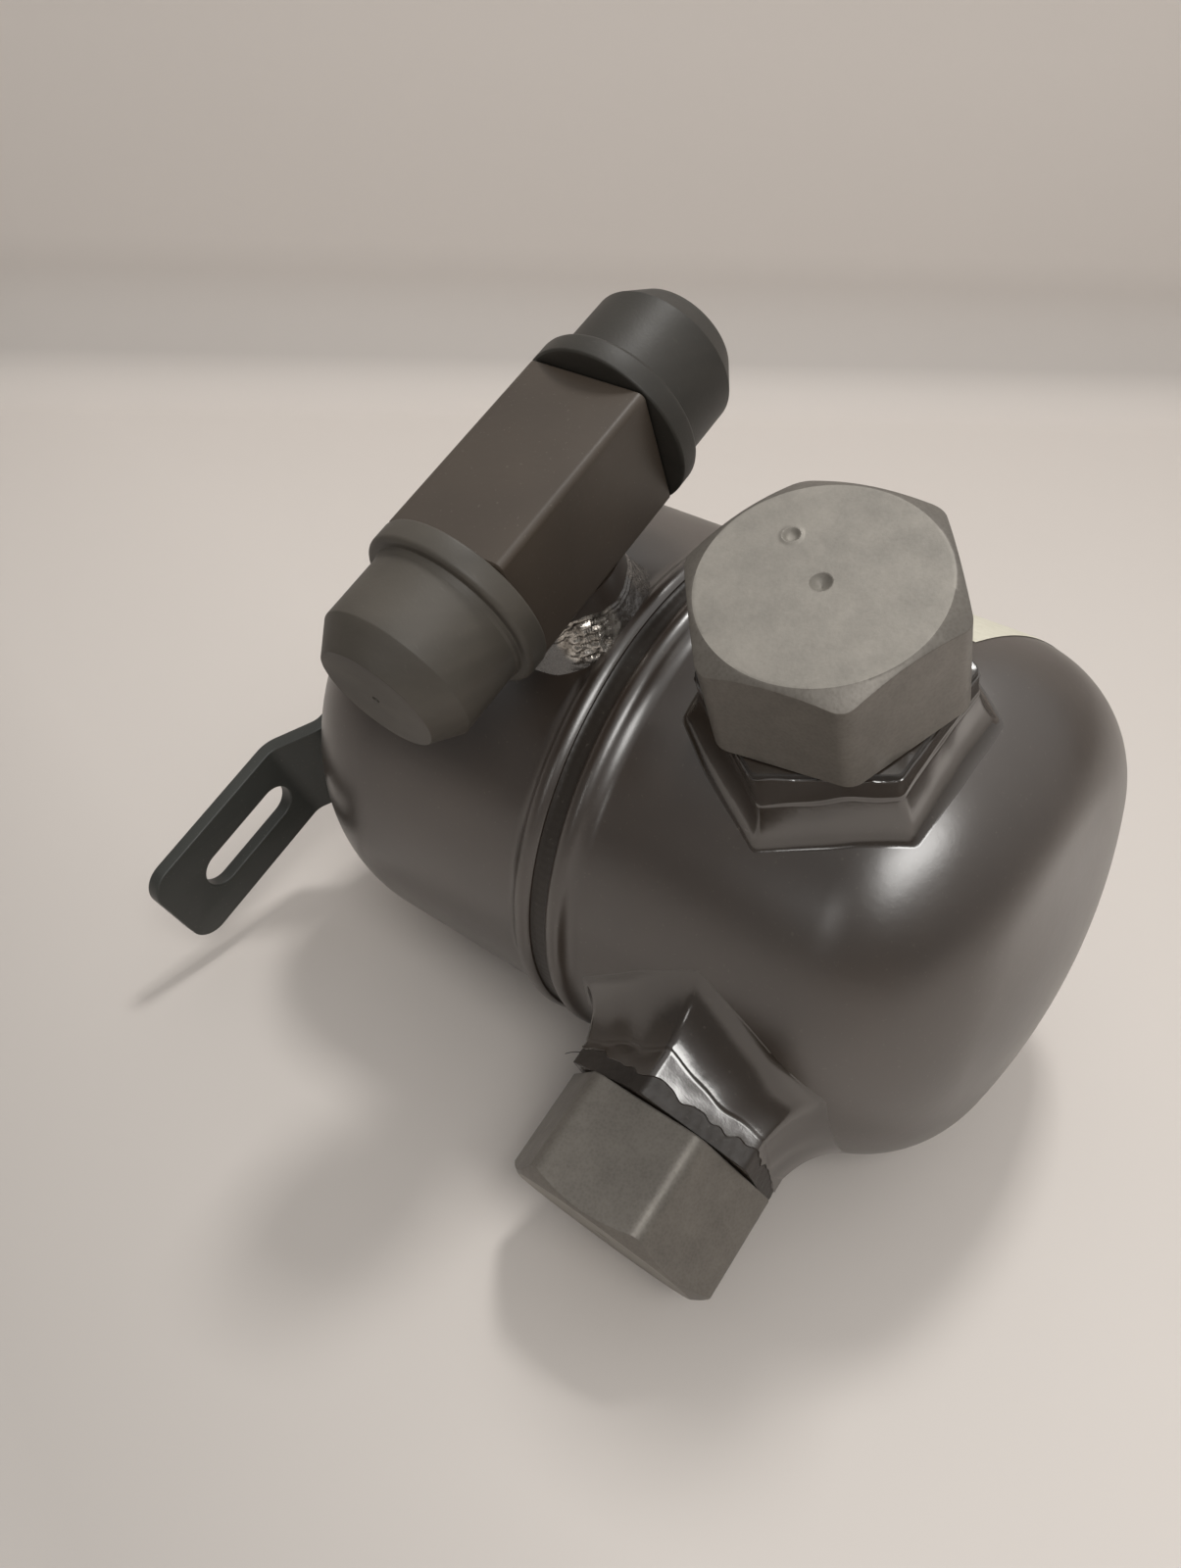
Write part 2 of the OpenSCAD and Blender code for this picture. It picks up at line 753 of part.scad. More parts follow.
// Bent arm on the pin: a short lever with the pad, a long one with the float
module float_arm() at_rest() color(bare_steel) {
    arm_angle = atan2(ball_x - pin_x, pin_z - ball_z);
    arm_length = norm([ball_x - pin_x, pin_z - ball_z]);
    difference() {
        union() {
            across_pivot(arm_hub_r, 2 * arm_half);
            translate([pin_x, 0, pin_z]) rotate([0, -arm_angle, 0])
                translate([-arm_t / 2, -arm_half, -arm_length]) cube([arm_t, 2 * arm_half, arm_length]);
            translate([pad_back_x - arm_t, -arm_half, pin_z]) cube([arm_t, 2 * arm_half, arm_top]);
        }
        across_pivot(pin_r + pin_clearance, 4 * ear_out);
        translate([ball_x, 0, ball_z]) sphere(d = float_d);
    }
}

module float_ball() at_rest() color(bare_steel) {
    translate([ball_x, 0, ball_z]) difference() {
        sphere(d = float_d);
        sphere(d = float_d - 2 * ball_wall);
    }
}

module valve_pad() at_rest() color(rubber) {
    translate([pad_back_x, 0, oil_line]) along_x() cylinder(r = valve_pad_r, h = valve_pad_t);
}

small_shell();
large_shell();
seam_weld();
top_boss();
top_boss_weld();
top_seal();
top_plug();
lower_boss();
lower_boss_weld();
lower_seal();
lower_plug();
port_block();
block_stub();
stub_weld();
near_cap();
far_cap();
bracket();
bracket_weld();
outlet_tube();
inlet_deflector();
front_screen();
mesh_pad();
rear_screen();
retaining_ring();
oil_tube();
valve_body();
pivot_pin();
float_arm();
float_ball();
valve_pad();
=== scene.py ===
"""Oil separator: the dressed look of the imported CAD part.

Shapes are worked out in millimetres in the vessel's own frame, which is the frame of
part.scad: +X runs to the large cup, +Z is the top port, -Y the lower port, and x = 0 is
the seam's first ridge. lay_down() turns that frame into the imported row's, in metres.
"""
import math

import bmesh
import bpy
import numpy as np
from mathutils import Matrix, Vector


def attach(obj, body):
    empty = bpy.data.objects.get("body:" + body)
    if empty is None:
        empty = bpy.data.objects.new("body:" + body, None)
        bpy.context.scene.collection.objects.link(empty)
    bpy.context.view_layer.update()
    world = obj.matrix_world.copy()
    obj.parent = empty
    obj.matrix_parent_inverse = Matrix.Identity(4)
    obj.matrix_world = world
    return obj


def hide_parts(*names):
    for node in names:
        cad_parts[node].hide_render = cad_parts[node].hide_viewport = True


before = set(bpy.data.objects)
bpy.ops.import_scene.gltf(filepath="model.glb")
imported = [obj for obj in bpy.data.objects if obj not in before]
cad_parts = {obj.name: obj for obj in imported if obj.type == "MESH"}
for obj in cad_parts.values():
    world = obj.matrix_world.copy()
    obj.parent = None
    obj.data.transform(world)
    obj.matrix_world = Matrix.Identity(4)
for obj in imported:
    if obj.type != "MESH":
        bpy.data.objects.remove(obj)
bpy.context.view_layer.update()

MM = 0.001

# Sizes shared with part.scad, in millimetres and degrees
VESSEL_R = 63.0
WALL = 3.0
INNER_R = VESSEL_R - WALL
SMALL_LENGTH = 89.5
SMALL_KNUCKLE = 38.0
LARGE_LENGTH = 101.7
LARGE_KNUCKLE = 32.6
LARGE_CROWN = 4.2
RIDGE_R = 65.4
RIDGE_TOP_R = 3.2
RIDGE_FOOT_R = 5.0
SEAM_WIDTH = 9.0
SEAM_EDGE = 2.2
LAP_LENGTH = 13.0
LAP_CLEARANCE = 0.1
TOP_PORT_X = 49.5
LOWER_PORT_X = 47.0
HEX_HALF = 23.0
BOSS_REACH = 77.4
BOSS_WELD_RISE = 9.0
PLUG_BASE = 77.8
PLUG_FACE = 103.2
PLUG_FACE_R = 22.3
PLUG_CORNER = 4.0
CHAMFER_SLOPE = 0.6
THREAD_PITCH = 2.0
THREAD_TURNS = 8
SHANK_R = 15.4
BORE_R = 16.65
SEAL_R = 19.0
SEAL_RECESS_R = 19.3
SEAL_T = 1.45
SEAL_TOP = PLUG_BASE - 0.05
PILOT_R = 20.0
PILOT_END = 56.5
THREAD_FLOOR = 60.3
THREAD_ROWS = 96
BORE_THREAD = 0.9
SHANK_THREAD = 1.1
OUTLET_BORE_R = 12.5
TOP_PLUG_TURN = 8.0
TOP_BOSS_TURN = 27.0
LOWER_BOSS_TURN = 33.0
LOWER_PLUG_TURN = 0.0
BLOCK_SIDE = 28.9
BLOCK_LENGTH = 47.4
BLOCK_X = -16.8
BLOCK_REACH = 93.0
BLOCK_EDGE = 1.6
SPIGOT_R = 13.0
SPIGOT_LENGTH = 20.0
BLOCK_BORE_R = 7.5
STUB_R = 14.3
STUB_BORE_R = 6.0
CAP_BASE = 23.9
CAP_R = 17.15
COLLAR_R = 19.8
COLLAR_WIDTH = 5.4
CAP_LENGTH = 27.9
CAP_FACE_R = 13.0
CAP_SLOPE = 6.4
END_X = -89.5
STRIP_WIDTH = 31.4
STRIP_T = 4.0
BRACKET_REACH = 100.5
BRACKET_OFFSET = 8.9
BRACKET_ANGLE = 34.5
WELDED_LEG = 35.5
FAR_LEG = 17.0
SLOT_WIDTH = 11.0
SLOT_LENGTH = 33.0
SLOT_MARGIN = 12.7
TIP_RADIUS = 7.0
BEND_R = 8.0

# The part lies on the seam's ridge and on the lower plug's edge
LAY_ANGLE = 25.6459
LAY_SHIFT = np.array([0.35, 18.79, 65.4])

# Camera solved from the photograph, in the vessel frame
CAMERA_AT = (131.22, -113.51, 268.72)
CAMERA_RIGHT = (0.7886, 0.5683, -0.2349)
CAMERA_DOWN = (0.3968, -0.7621, -0.5117)
CAMERA_AHEAD = (-0.4698, 0.3103, -0.8264)
FOCAL_PIXELS = 1268.54
FRAME_HEIGHT = 1600
SENSOR = 36.0


# Part: frames

def turned(points, degrees):
    """Turns points about +X."""
    c, s = math.cos(math.radians(degrees)), math.sin(math.radians(degrees))
    p = np.asarray(points, float)
    return np.stack([p[..., 0], p[..., 1] * c - p[..., 2] * s, p[..., 1] * s + p[..., 2] * c], -1)


def lay_down(points):
    """Vessel frame in millimetres to the row frame in metres."""
    return (turned(points, LAY_ANGLE) + LAY_SHIFT) * MM


def at_axis(points):
    """Local +Z runs along the vessel axis."""
    return np.stack([points[..., 2], points[..., 1], -points[..., 0]], -1)


def at_top(points):
    return points + np.array([TOP_PORT_X, 0, 0])


def at_lower(points):
    return turned(points, 90) + np.array([LOWER_PORT_X, 0, 0])


def at_block(points):
    return turned(points, 90) + np.array([BLOCK_X, 0, BLOCK_REACH])


def at_far_block(points):
    return at_block(points * np.array([1, 1, -1]))


def at_stub(points):
    return points + np.array([BLOCK_X, 0, 0])


# Part: outlines

def arc(centre, radius, start, end, steps):
    a = np.radians(np.linspace(start, end, steps + 1))
    return np.stack([centre[0] + radius * np.cos(a), centre[1] + radius * np.sin(a)], -1)


def rounded_line(points, radii, steps=5):
    """A line through points, with each inner corner replaced by an arc of the given radius."""
    points = [np.array(p, float) for p in points]
    out = [points[0]]
    for before, here, after, radius in zip(points, points[1:], points[2:], radii):
        u = (before - here) / np.linalg.norm(before - here)
        v = (after - here) / np.linalg.norm(after - here)
        half = math.acos(max(-1.0, min(1.0, float(u @ v)))) / 2
        if radius <= 0 or half > math.radians(89.5):
            out.append(here)
            continue
        reach = radius / math.tan(half)
        centre = here + (u + v) / np.linalg.norm(u + v) * radius / math.sin(half)
        first, last = here + u * reach - centre, here + v * reach - centre
        sweep = math.pi - 2 * half
        turn = math.copysign(sweep, first[0] * last[1] - first[1] * last[0])
        for i in range(steps + 1):
            a = turn * i / steps
            c, s = math.cos(a), math.sin(a)
            out.append(centre + np.array([first[0] * c - first[1] * s, first[0] * s + first[1] * c]))
    out.append(points[-1])
    return np.array(out)


def spread(line, step):
    """Adds points so that no stretch of a line is longer than step."""
    out = [line[0]]
    for a, b in zip(line, line[1:]):
        count = max(1, int(math.ceil(np.linalg.norm(b - a) / step)))
        out.extend(a + (b - a) * i / count for i in range(1, count + 1))
    return np.array(out)


def cup_end(radius, length, knuckle, crown, steps=40):
    """Rounded end of a cup's half profile as (radius, x), down to the axis."""
    head = knuckle + crown
    if crown <= 0:
        bend = arc((radius - knuckle, length - knuckle), knuckle, 0, 90, steps)
        return np.concatenate([bend, [[0.02, length]]])
    crown_r = ((radius - knuckle) ** 2 + head ** 2 - knuckle ** 2) / (2 * crown)
    turn = math.degrees(math.asin((radius - knuckle) / (crown_r - knuckle)))
    bend = arc((radius - knuckle, length - head), knuckle, 0, 90 - turn, steps)
    a = np.radians(turn * (1 - np.arange(1, 17) / 16))
    top = np.stack([np.maximum(crown_r * np.sin(a), 0.02), length - crown_r * (1 - np.cos(a))], -1)
    return np.concatenate([bend, top])


def ridge_outline(edge):
    """Half profile of a seam ridge as (radius, x), from its rim edge to its foot."""
    reach = RIDGE_TOP_R + RIDGE_FOOT_R
    turn = math.degrees(math.acos(1 - (RIDGE_R - VESSEL_R) / reach))
    half = math.sqrt(reach ** 2 - (reach - RIDGE_R + VESSEL_R) ** 2)
    rim = -math.degrees(math.asin(edge / RIDGE_TOP_R))
    top = arc((RIDGE_R - RIDGE_TOP_R, 0), RIDGE_TOP_R, rim, turn, 14)
    foot = arc((VESSEL_R + RIDGE_FOOT_R, half), RIDGE_FOOT_R, 180 + turn, 180, 10)
    return np.concatenate([top, foot[1:]])


def cup_radius(x):
    """Outer radius of the large cup at a distance x from the seam."""
    start = LARGE_LENGTH - LARGE_KNUCKLE - LARGE_CROWN
    run = np.maximum(0, np.asarray(x, float) - start)
    return VESSEL_R - LARGE_KNUCKLE + np.sqrt(np.maximum(LARGE_KNUCKLE ** 2 - run ** 2, 0))


def skin(x, y, origin_x):
    """Height of the cups' outside over the vessel axis, in a port's frame."""
    return np.sqrt(cup_radius(np.asarray(x) + origin_x) ** 2 - np.asarray(y) ** 2)


def hex_outline(angle, turn, corner=1.6):
    """Radius of a hexagon bar's outline with rounded corners, at angles in degrees."""
    a = np.mod(np.asarray(angle, float) - turn, 60) - 30
    a = np.abs(np.radians(a))
    flat_half = (HEX_HALF - corner) * math.tan(math.radians(30))
    straight = HEX_HALF / np.cos(a)
    far = (HEX_HALF - corner) / math.cos(math.radians(30))
    off = math.radians(30) - a
    round_part = far * np.cos(off) + np.sqrt(np.maximum(corner ** 2 - (far * np.sin(off)) ** 2, 0))
    return np.where(HEX_HALF * np.tan(a) > flat_half, round_part, straight)


# Part: noise

def lump_noise(points, size, seed, octaves=4, rough=0.55):
    """Smooth repeatable noise of points, about -1 to 1, whose widest lumps are size long."""
    rng = np.random.default_rng(seed)
    p = np.asarray(points, float) * (2 * math.pi / size)
    total = np.zeros(p.shape[:-1])
    weight, level = 0.0, 1.0
    for _ in range(octaves):
        for _ in range(4):
            way = rng.normal(size=3)
            rate = rng.uniform(0.7, 1.4) / np.linalg.norm(way)
            total = total + level * np.sin(rate * (p @ way) + rng.uniform(0, 2 * math.pi))
        weight += level * 2.2
        level *= rough
        p = p * 2.03
    return total / weight


def ring_noise(angle, seed, lowest=1, highest=12, fall=0.8):
    """Smooth repeatable noise round a ring, about -1 to 1, periodic in 360 degrees."""
    rng = np.random.default_rng(seed)
    a = np.radians(np.asarray(angle, float))
    total = np.zeros(a.shape)
    weight = 0.0
    for k in range(lowest, highest + 1):
        size = 1 / k ** fall
        total = total + size * np.sin(k * a + rng.uniform(0, 2 * math.pi))
        weight += size ** 2
    return total / math.sqrt(weight) * 0.8


# Part: meshes

def grid_faces(rows, columns, close_rows=False, close_columns=False, first=0, flip=False):
    """Quads of a grid of points that is stored row by row."""
    faces = []
    for i in range(rows if close_rows else rows - 1):
        for j in range(columns if close_columns else columns - 1):
            a = first + i * columns + j
            b = first + i * columns + (j + 1) % columns
            c = first + ((i + 1) % rows) * columns + (j + 1) % columns
            d = first + ((i + 1) % rows) * columns + j
            faces.append((d, c, b, a) if flip else (a, b, c, d))
    return faces


def surface(points, close_rows=False, close_columns=False, flip=False):
    """One grid of points as (points, faces)."""
    p = np.asarray(points, float)
    return p.reshape(-1, 3), grid_faces(p.shape[0], p.shape[1], close_rows, close_columns, 0, flip)


def join(*parts):
    """Several (points, faces) as one."""
    points, faces, first = [], [], 0
    for p, f in parts:
        points.append(p)
        faces.extend(tuple(i + first for i in face) for face in f)
        first += len(p)
    return np.concatenate(points), faces


def revolved(profile, steps):
    """A half profile of (radius, z) turned about +Z."""
    a = np.radians(np.arange(steps) * 360 / steps)
    r, z = profile[:, 0][:, None], profile[:, 1][:, None]
    points = np.stack([r * np.cos(a), r * np.sin(a), z + 0 * a], -1)
    return surface(points, close_columns=True)


def placed(part, place):
    return place(part[0]), part[1]


def add_piece(name, part, body, material, replaces=(), sharp=40):
    """Makes one mesh piece from points in the vessel frame and lets it ride on a body."""
    points, faces = part
    mesh = bpy.data.meshes.new(name)
    mesh.from_pydata(lay_down(points).tolist(), [], faces)
    mesh.validate()
    mesh.shade_smooth()
    mesh.set_sharp_from_angle(angle=math.radians(sharp))
    mesh.materials.append(material)
    piece = bpy.data.objects.new(name, mesh)
    bpy.context.scene.collection.objects.link(piece)
    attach(piece, body)
    if replaces:
        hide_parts(*replaces)
    return piece


def second_finish(piece, material, first, last):
    """Gives the faces numbered first to last - 1 another material."""
    piece.data.materials.append(material)
    for polygon in piece.data.polygons[first:last]:
        polygon.material_index = 1
    return piece


# Part: materials

def srgb(r, g, b):
    """Colour given as 0 to 255 sRGB, as linear values."""
    out = []
    for c in (r, g, b):
        c = c / 255
        out.append(c / 12.92 if c <= 0.04045 else ((c + 0.055) / 1.055) ** 2.4)
    return (*out, 1)


class Nodes:
    """Short ways to build one material's node tree."""

    def __init__(self, name):
        self.material = bpy.data.materials.new(name)
        self.material.use_nodes = True
        self.tree = self.material.node_tree
        self.shader = self.tree.nodes["Principled BSDF"]
        self.coordinates = self.tree.nodes.new("ShaderNodeTexCoord").outputs["Object"]

    def link(self, source, target):
        self.tree.links.new(source, target)

    def stretched(self, scale):
        node = self.tree.nodes.new("ShaderNodeMapping")
        node.inputs["Scale"].default_value = scale
        self.link(self.coordinates, node.inputs["Vector"])
        return node.outputs["Vector"]

    def noise(self, scale, detail=4, rough=0.55, vector=None):
        node = self.tree.nodes.new("ShaderNodeTexNoise")
        node.inputs["Scale"].default_value = scale
        node.inputs["Detail"].default_value = detail
        node.inputs["Roughness"].default_value = rough
        self.link(vector or self.coordinates, node.inputs["Vector"])
        return node.outputs["Fac"]

    def cells(self, scale, feature="F1"):
        node = self.tree.nodes.new("ShaderNodeTexVoronoi")
        node.inputs["Scale"].default_value = scale
        node.feature = feature
        self.link(self.coordinates, node.inputs["Vector"])
        return node.outputs["Distance"]

    def ramp(self, source, stops):
        node = self.tree.nodes.new("ShaderNodeValToRGB")
        ramp = node.color_ramp
        while len(ramp.elements) < len(stops):
            ramp.elements.new(0.5)
        for element, (place, colour) in zip(ramp.elements, stops):
            element.position = place
            element.color = colour if isinstance(colour, tuple) else (colour, colour, colour, 1)
        self.link(source, node.inputs["Fac"])
        return node.outputs["Color"]

    def mix(self, factor, a, b, kind="MIX"):
        node = self.tree.nodes.new("ShaderNodeMix")
        node.data_type = "RGBA"
        node.blend_type = kind
        for value, socket in ((factor, node.inputs[0]), (a, node.inputs[6]), (b, node.inputs[7])):
            if isinstance(value, (int, float, tuple)):
                socket.default_value = value
            else:
                self.link(value, socket)
        return node.outputs[2]

    def math(self, kind, a, b=0.0):
        node = self.tree.nodes.new("ShaderNodeMath")
        node.operation = kind
        for value, socket in ((a, node.inputs[0]), (b, node.inputs[1])):
            if isinstance(value, (int, float)):
                socket.default_value = value
            else:
                self.link(value, socket)
        return node.outputs[0]

    def remap(self, source, low, high, from_low=0.0, from_high=1.0):
        node = self.tree.nodes.new("ShaderNodeMapRange")
        node.inputs["From Min"].default_value = from_low
        node.inputs["From Max"].default_value = from_high
        node.inputs["To Min"].default_value = low
        node.inputs["To Max"].default_value = high
        self.link(source, node.inputs["Value"])
        return node.outputs["Result"]

    def bump(self, height, strength, distance, below=None):
        node = self.tree.nodes.new("ShaderNodeBump")
        node.inputs["Strength"].default_value = strength
        node.inputs["Distance"].default_value = distance
        self.link(height, node.inputs["Height"])
        if below is not None:
            self.link(below, node.inputs["Normal"])
        return node.outputs["Normal"]

    def set(self, **values):
        for name, value in values.items():
            socket = self.shader.inputs[name.replace("_", " ")]
            if isinstance(value, (int, float, tuple)):
                socket.default_value = value
            else:
                self.link(value, socket)
        return self


def paint(name, light, dark, rough_low, rough_high, peel, ior=1.5):
    """Stoved black-brown paint: cloudy tone, dust specks and a fine orange peel."""
    n = Nodes(name)
    cloud = n.ramp(n.noise(22, 3), [(0.3, dark), (0.7, light)])
    specks = n.ramp(n.noise(1400, 1, 0.4), [(0.70, 0.0), (0.78, 1.0)])
    colour = n.mix(n.math("MULTIPLY", specks, 0.12), cloud, srgb(150, 142, 132))
    smear = n.noise(60, 4, 0.6)
    peel_bump = n.bump(n.noise(420, 2, 0.5), peel, 0.0004)
    grain = n.bump(n.noise(2600, 1, 0.5), 0.05, 0.0001, peel_bump)
    n.set(Base_Color=colour, Roughness=n.remap(smear, rough_low, rough_high), Normal=grain)
    n.set(Specular_IOR_Level=0.5, IOR=ior)
    return n.material


def phosphated_steel(name, light, dark, rough):
    """Dark grey phosphated bar steel: mottled crystals and pits."""
    n = Nodes(name)
    mottle = n.ramp(n.noise(130, 6, 0.7), [(0.3, dark), (0.72, light)])
    crystals = n.ramp(n.cells(1500), [(0.1, 0.0), (0.7, 1.0)])
    colour = n.mix(n.math("MULTIPLY", crystals, 0.08), mottle, srgb(170, 166, 158))
    pits = n.bump(n.noise(900, 3, 0.6), 0.22, 0.0002)
    n.set(Base_Color=colour, Metallic=0.35, Normal=pits)
    n.set(Roughness=n.remap(n.noise(240, 4), rough - 0.06, rough + 0.08))
    return n.material


def moulded_plastic(name, light, dark):
    """Satin black moulded plastic: slight flow marks and a fine eroded grain."""
    n = Nodes(name)
    flow = n.ramp(n.noise(40, 3, 0.5, n.stretched((1, 1, 3))), [(0.3, dark), (0.7, light)])
    scuffs = n.ramp(n.noise(300, 5, 0.7, n.stretched((1, 4, 1))), [(0.62, 0.0), (0.74, 1.0)])
    colour = n.mix(n.math("MULTIPLY", scuffs, 0.10), flow, srgb(140, 136, 128))
    grain = n.bump(n.noise(1500, 2, 0.5), 0.12, 0.0002)
    n.set(Base_Color=colour, Normal=grain, Roughness=n.remap(n.noise(90, 3), 0.44, 0.56))
    n.set(Specular_IOR_Level=0.4)
    return n.material


def bare_metal(name, light, dark, rough, bump_scale=700, bump=0.15, metallic=1.0):
    """Plain steel or copper with rolled streaks and a slight tarnish."""
    n = Nodes(name)
    tone = n.ramp(n.noise(160, 5, 0.65), [(0.3, dark), (0.7, light)])
    streaks = n.bump(n.noise(bump_scale, 3, 0.6, n.stretched((1, 1, 6))), bump, 0.0002)
    n.set(Base_Color=tone, Metallic=metallic, Normal=streaks)
    n.set(Roughness=n.remap(n.noise(300, 4), rough - 0.08, rough + 0.1))
    return n.material


def weld_metal(name, centre, reach):
    """Painted weld with a patch of bare lumpy metal round one place."""
    n = Nodes(name)
    off = n.tree.nodes.new("ShaderNodeVectorMath")
    off.operation = "DISTANCE"
    off.inputs[1].default_value = centre
    n.link(n.coordinates, off.inputs[0])
    ragged = n.math("ADD", off.outputs["Value"], n.remap(n.noise(500, 4), -0.002, 0.002))
    bare = n.remap(ragged, 1.0, 0.0, reach, reach * 1.25)
    lumps = n.noise(450, 4, 0.6)
    metal = n.ramp(lumps, [(0.36, srgb(90, 84, 78)), (0.5, srgb(176, 170, 162)), (0.66, srgb(222, 217, 210))])
    n.set(Base_Color=n.mix(bare, srgb(46, 40, 35), metal), Metallic=n.math("MULTIPLY", bare, 0.9))
    n.set(Roughness=n.remap(n.noise(1200, 3), 0.20, 0.34), Specular_IOR_Level=0.5, IOR=2.4)
    n.set(Normal=n.bump(lumps, 0.35, 0.0006))
    return n.material


def mesh_wire(name):
    """Knitted wire pad: crossed bright strands, with painted shade in the gaps between them."""
    n = Nodes(name)
    strands = n.noise(900, 6, 0.8, n.stretched((1, 5, 1)))
    crossed = n.noise(900, 6, 0.8, n.stretched((1, 1, 5)))
    both = n.math("MAXIMUM", strands, crossed)
    # the dark end of the ramp is painted shade in the gaps
    colour = n.ramp(both, [(0.5, srgb(60, 58, 54)), (0.65, srgb(190, 186, 178))])
    n.set(Base_Color=colour, Metallic=0.8, Roughness=0.4, Normal=n.bump(both, 0.8, 0.001))
    return n.material


def paper_label(name):
    """Blank pale yellow sticker with faint fibres and a slightly soiled film."""
    n = Nodes(name)
    tone = n.ramp(n.noise(500, 5, 0.7), [(0.3, srgb(206, 202, 184)), (0.7, srgb(218, 214, 198))])
    n.set(Base_Color=tone, Roughness=n.remap(n.noise(80, 3), 0.42, 0.6))
    n.set(Normal=n.bump(n.noise(1600, 2), 0.06, 0.0001))
    return n.material


# Stage tones, painted shade: the floor darker towards the camera and a dark band low on the wall; they run
# along the floor away from the camera, and up the wall as shares of WALL_BAND metres
DEPTH_WAY = (0.26, 0.966)
DEPTH_RANGE = (-0.17, 0.03)
FLOOR_PAINTED_SHADE_TONES = [(0.0, 0.70), (0.45, 0.92), (1.0, 1.0)]
WALL_BAND = 0.25
WALL_PAINTED_SHADE_TONES = [(0.0, 0.93), (0.03, 0.86), (0.076, 0.70), (0.16, 0.80), (0.30, 0.94), (0.68, 1.0)]


def stage_surface(name, light, shade):
    """Pale board for floor and backdrop, with painted shade: a little darker in front and low on the wall."""
    n = Nodes(name)
    board = n.mix(n.noise(1.2, 3, 0.5), shade, light)
    place = n.tree.nodes.new("ShaderNodeSeparateXYZ")
    n.link(n.coordinates, place.inputs[0])
    across = n.math("MULTIPLY", place.outputs["X"], DEPTH_WAY[0])
    depth = n.math("ADD", across, n.math("MULTIPLY", place.outputs["Y"], DEPTH_WAY[1]))
    # painted shade: the floor darkens towards the camera
    front = n.ramp(n.remap(depth, 0.0, 1.0, *DEPTH_RANGE), FLOOR_PAINTED_SHADE_TONES)
    # painted shade: a dark band low on the wall, where it meets the floor
    wall = n.ramp(n.remap(place.outputs["Z"], 0.0, 1.0, 0.0, WALL_BAND), WALL_PAINTED_SHADE_TONES)
    n.set(Base_Color=n.mix(1.0, n.mix(1.0, board, front, "MULTIPLY"), wall, "MULTIPLY"))
    n.set(Roughness=n.remap(n.noise(3, 2), 0.55, 0.7))
    n.set(Normal=n.bump(n.noise(700, 3, 0.6), 0.03, 0.0002))
    return n.material


M_PAINT = paint("vessel_paint", srgb(58, 48, 40), srgb(46, 38, 32), 0.27, 0.36, 0.05, 2.1)
M_GLOSS = paint("boss_paint", srgb(56, 48, 41), srgb(46, 39, 33), 0.13, 0.21, 0.05, 2.1)
# The seam bead's darker tone is painted shade of the groove between the ridges
M_BEAD_PAINTED_SHADE = paint("seam_paint_painted_shade", srgb(48, 42, 36), srgb(36, 31, 27), 0.36, 0.46, 0.08, 1.5)
M_STRIP = paint("strip_paint", srgb(60, 61, 58), srgb(50, 51, 48), 0.36, 0.48, 0.08)
M_TORN = paint("torn_paint", srgb(52, 46, 41), srgb(34, 30, 27), 0.45, 0.6, 0.25)
M_BLOCK = paint("block_paint", srgb(76, 67, 58), srgb(63, 55, 48), 0.38, 0.48, 0.08)
M_PLUG = phosphated_steel("plug_steel", srgb(110, 105, 98), srgb(94, 89, 83), 0.44)
# The plug face is a lighter copy of the plug steel: painted light where the end face catches the lamps
M_FACE_PAINTED_LIGHT = phosphated_steel("plug_face", srgb(144, 139, 131), srgb(124, 120, 113), 0.55)
# The two caps are the same plastic: the near cap's lighter tone is painted light and the far cap's darker
# tone is painted shade
M_NEAR_CAP_PAINTED_LIGHT = moulded_plastic("cap_plastic", srgb(82, 77, 70), srgb(68, 64, 58))
M_FAR_CAP_PAINTED_SHADE = moulded_plastic("far_cap_plastic", srgb(56, 53, 48), srgb(45, 43, 39))
M_COPPER = bare_metal("seal_copper", srgb(186, 122, 88), srgb(140, 84, 58), 0.35)
M_STEEL = bare_metal("inner_steel", srgb(188, 184, 176), srgb(150, 147, 141), 0.38)
BARE_ANGLE = math.radians(-35)
BARE_HEIGHT = 69.0
BARE_REACH = 0.0060
BARE_PLACE = at_stub(np.array([STUB_R * math.cos(BARE_ANGLE), STUB_R * math.sin(BARE_ANGLE), BARE_HEIGHT]))
M_WELD = weld_metal("weld_metal", tuple(float(v) for v in lay_down(BARE_PLACE)), BARE_REACH)
M_MESH = mesh_wire("mesh_wire")
M_RUBBER = moulded_plastic("pad_rubber", srgb(40, 40, 40), srgb(28, 28, 28))
M_LABEL = paper_label("blank_label")
M_FLOOR = stage_surface("stage_floor", srgb(224, 217, 211), srgb(218, 211, 205))


# Part: vessel

CUP_STEPS = 256


def without_ports(part, radius, axes):
    """Drops the faces of a shell that lie inside the bosses' walls."""
    points, faces = part
    centres = np.array([points[list(f)].mean(0) for f in faces])
    keep = np.ones(len(faces), bool)
    for port_x, across, along, sign in axes:
        off = np.hypot(centres[:, 0] - port_x, centres[:, across])
        keep &= ~((off < radius) & (centres[:, along] * sign > 0))
    return points, [f for f, k in zip(faces, keep) if k]


def build_large_cup():
    rim = ridge_outline(SEAM_EDGE) + np.array([0, SEAM_WIDTH])
    outer = np.concatenate([rim, cup_end(VESSEL_R, LARGE_LENGTH, LARGE_KNUCKLE, LARGE_CROWN)])
    inner = cup_end(INNER_R, LARGE_LENGTH - WALL, LARGE_KNUCKLE - WALL, LARGE_CROWN)[::-1]
    start = np.array([[INNER_R, SEAM_WIDTH - SEAM_EDGE]])
    profile = np.concatenate([start, spread(outer, 1.5), inner, start])
    part = placed(revolved(spread(profile, 2.5), CUP_STEPS), at_axis)
    part = without_ports(part, 22.0, ((TOP_PORT_X, 1, 2, 1), (LOWER_PORT_X, 2, 1, -1)))
    return add_piece("large_cup_painted", part, "vessel", M_PAINT, ("large_shell",))


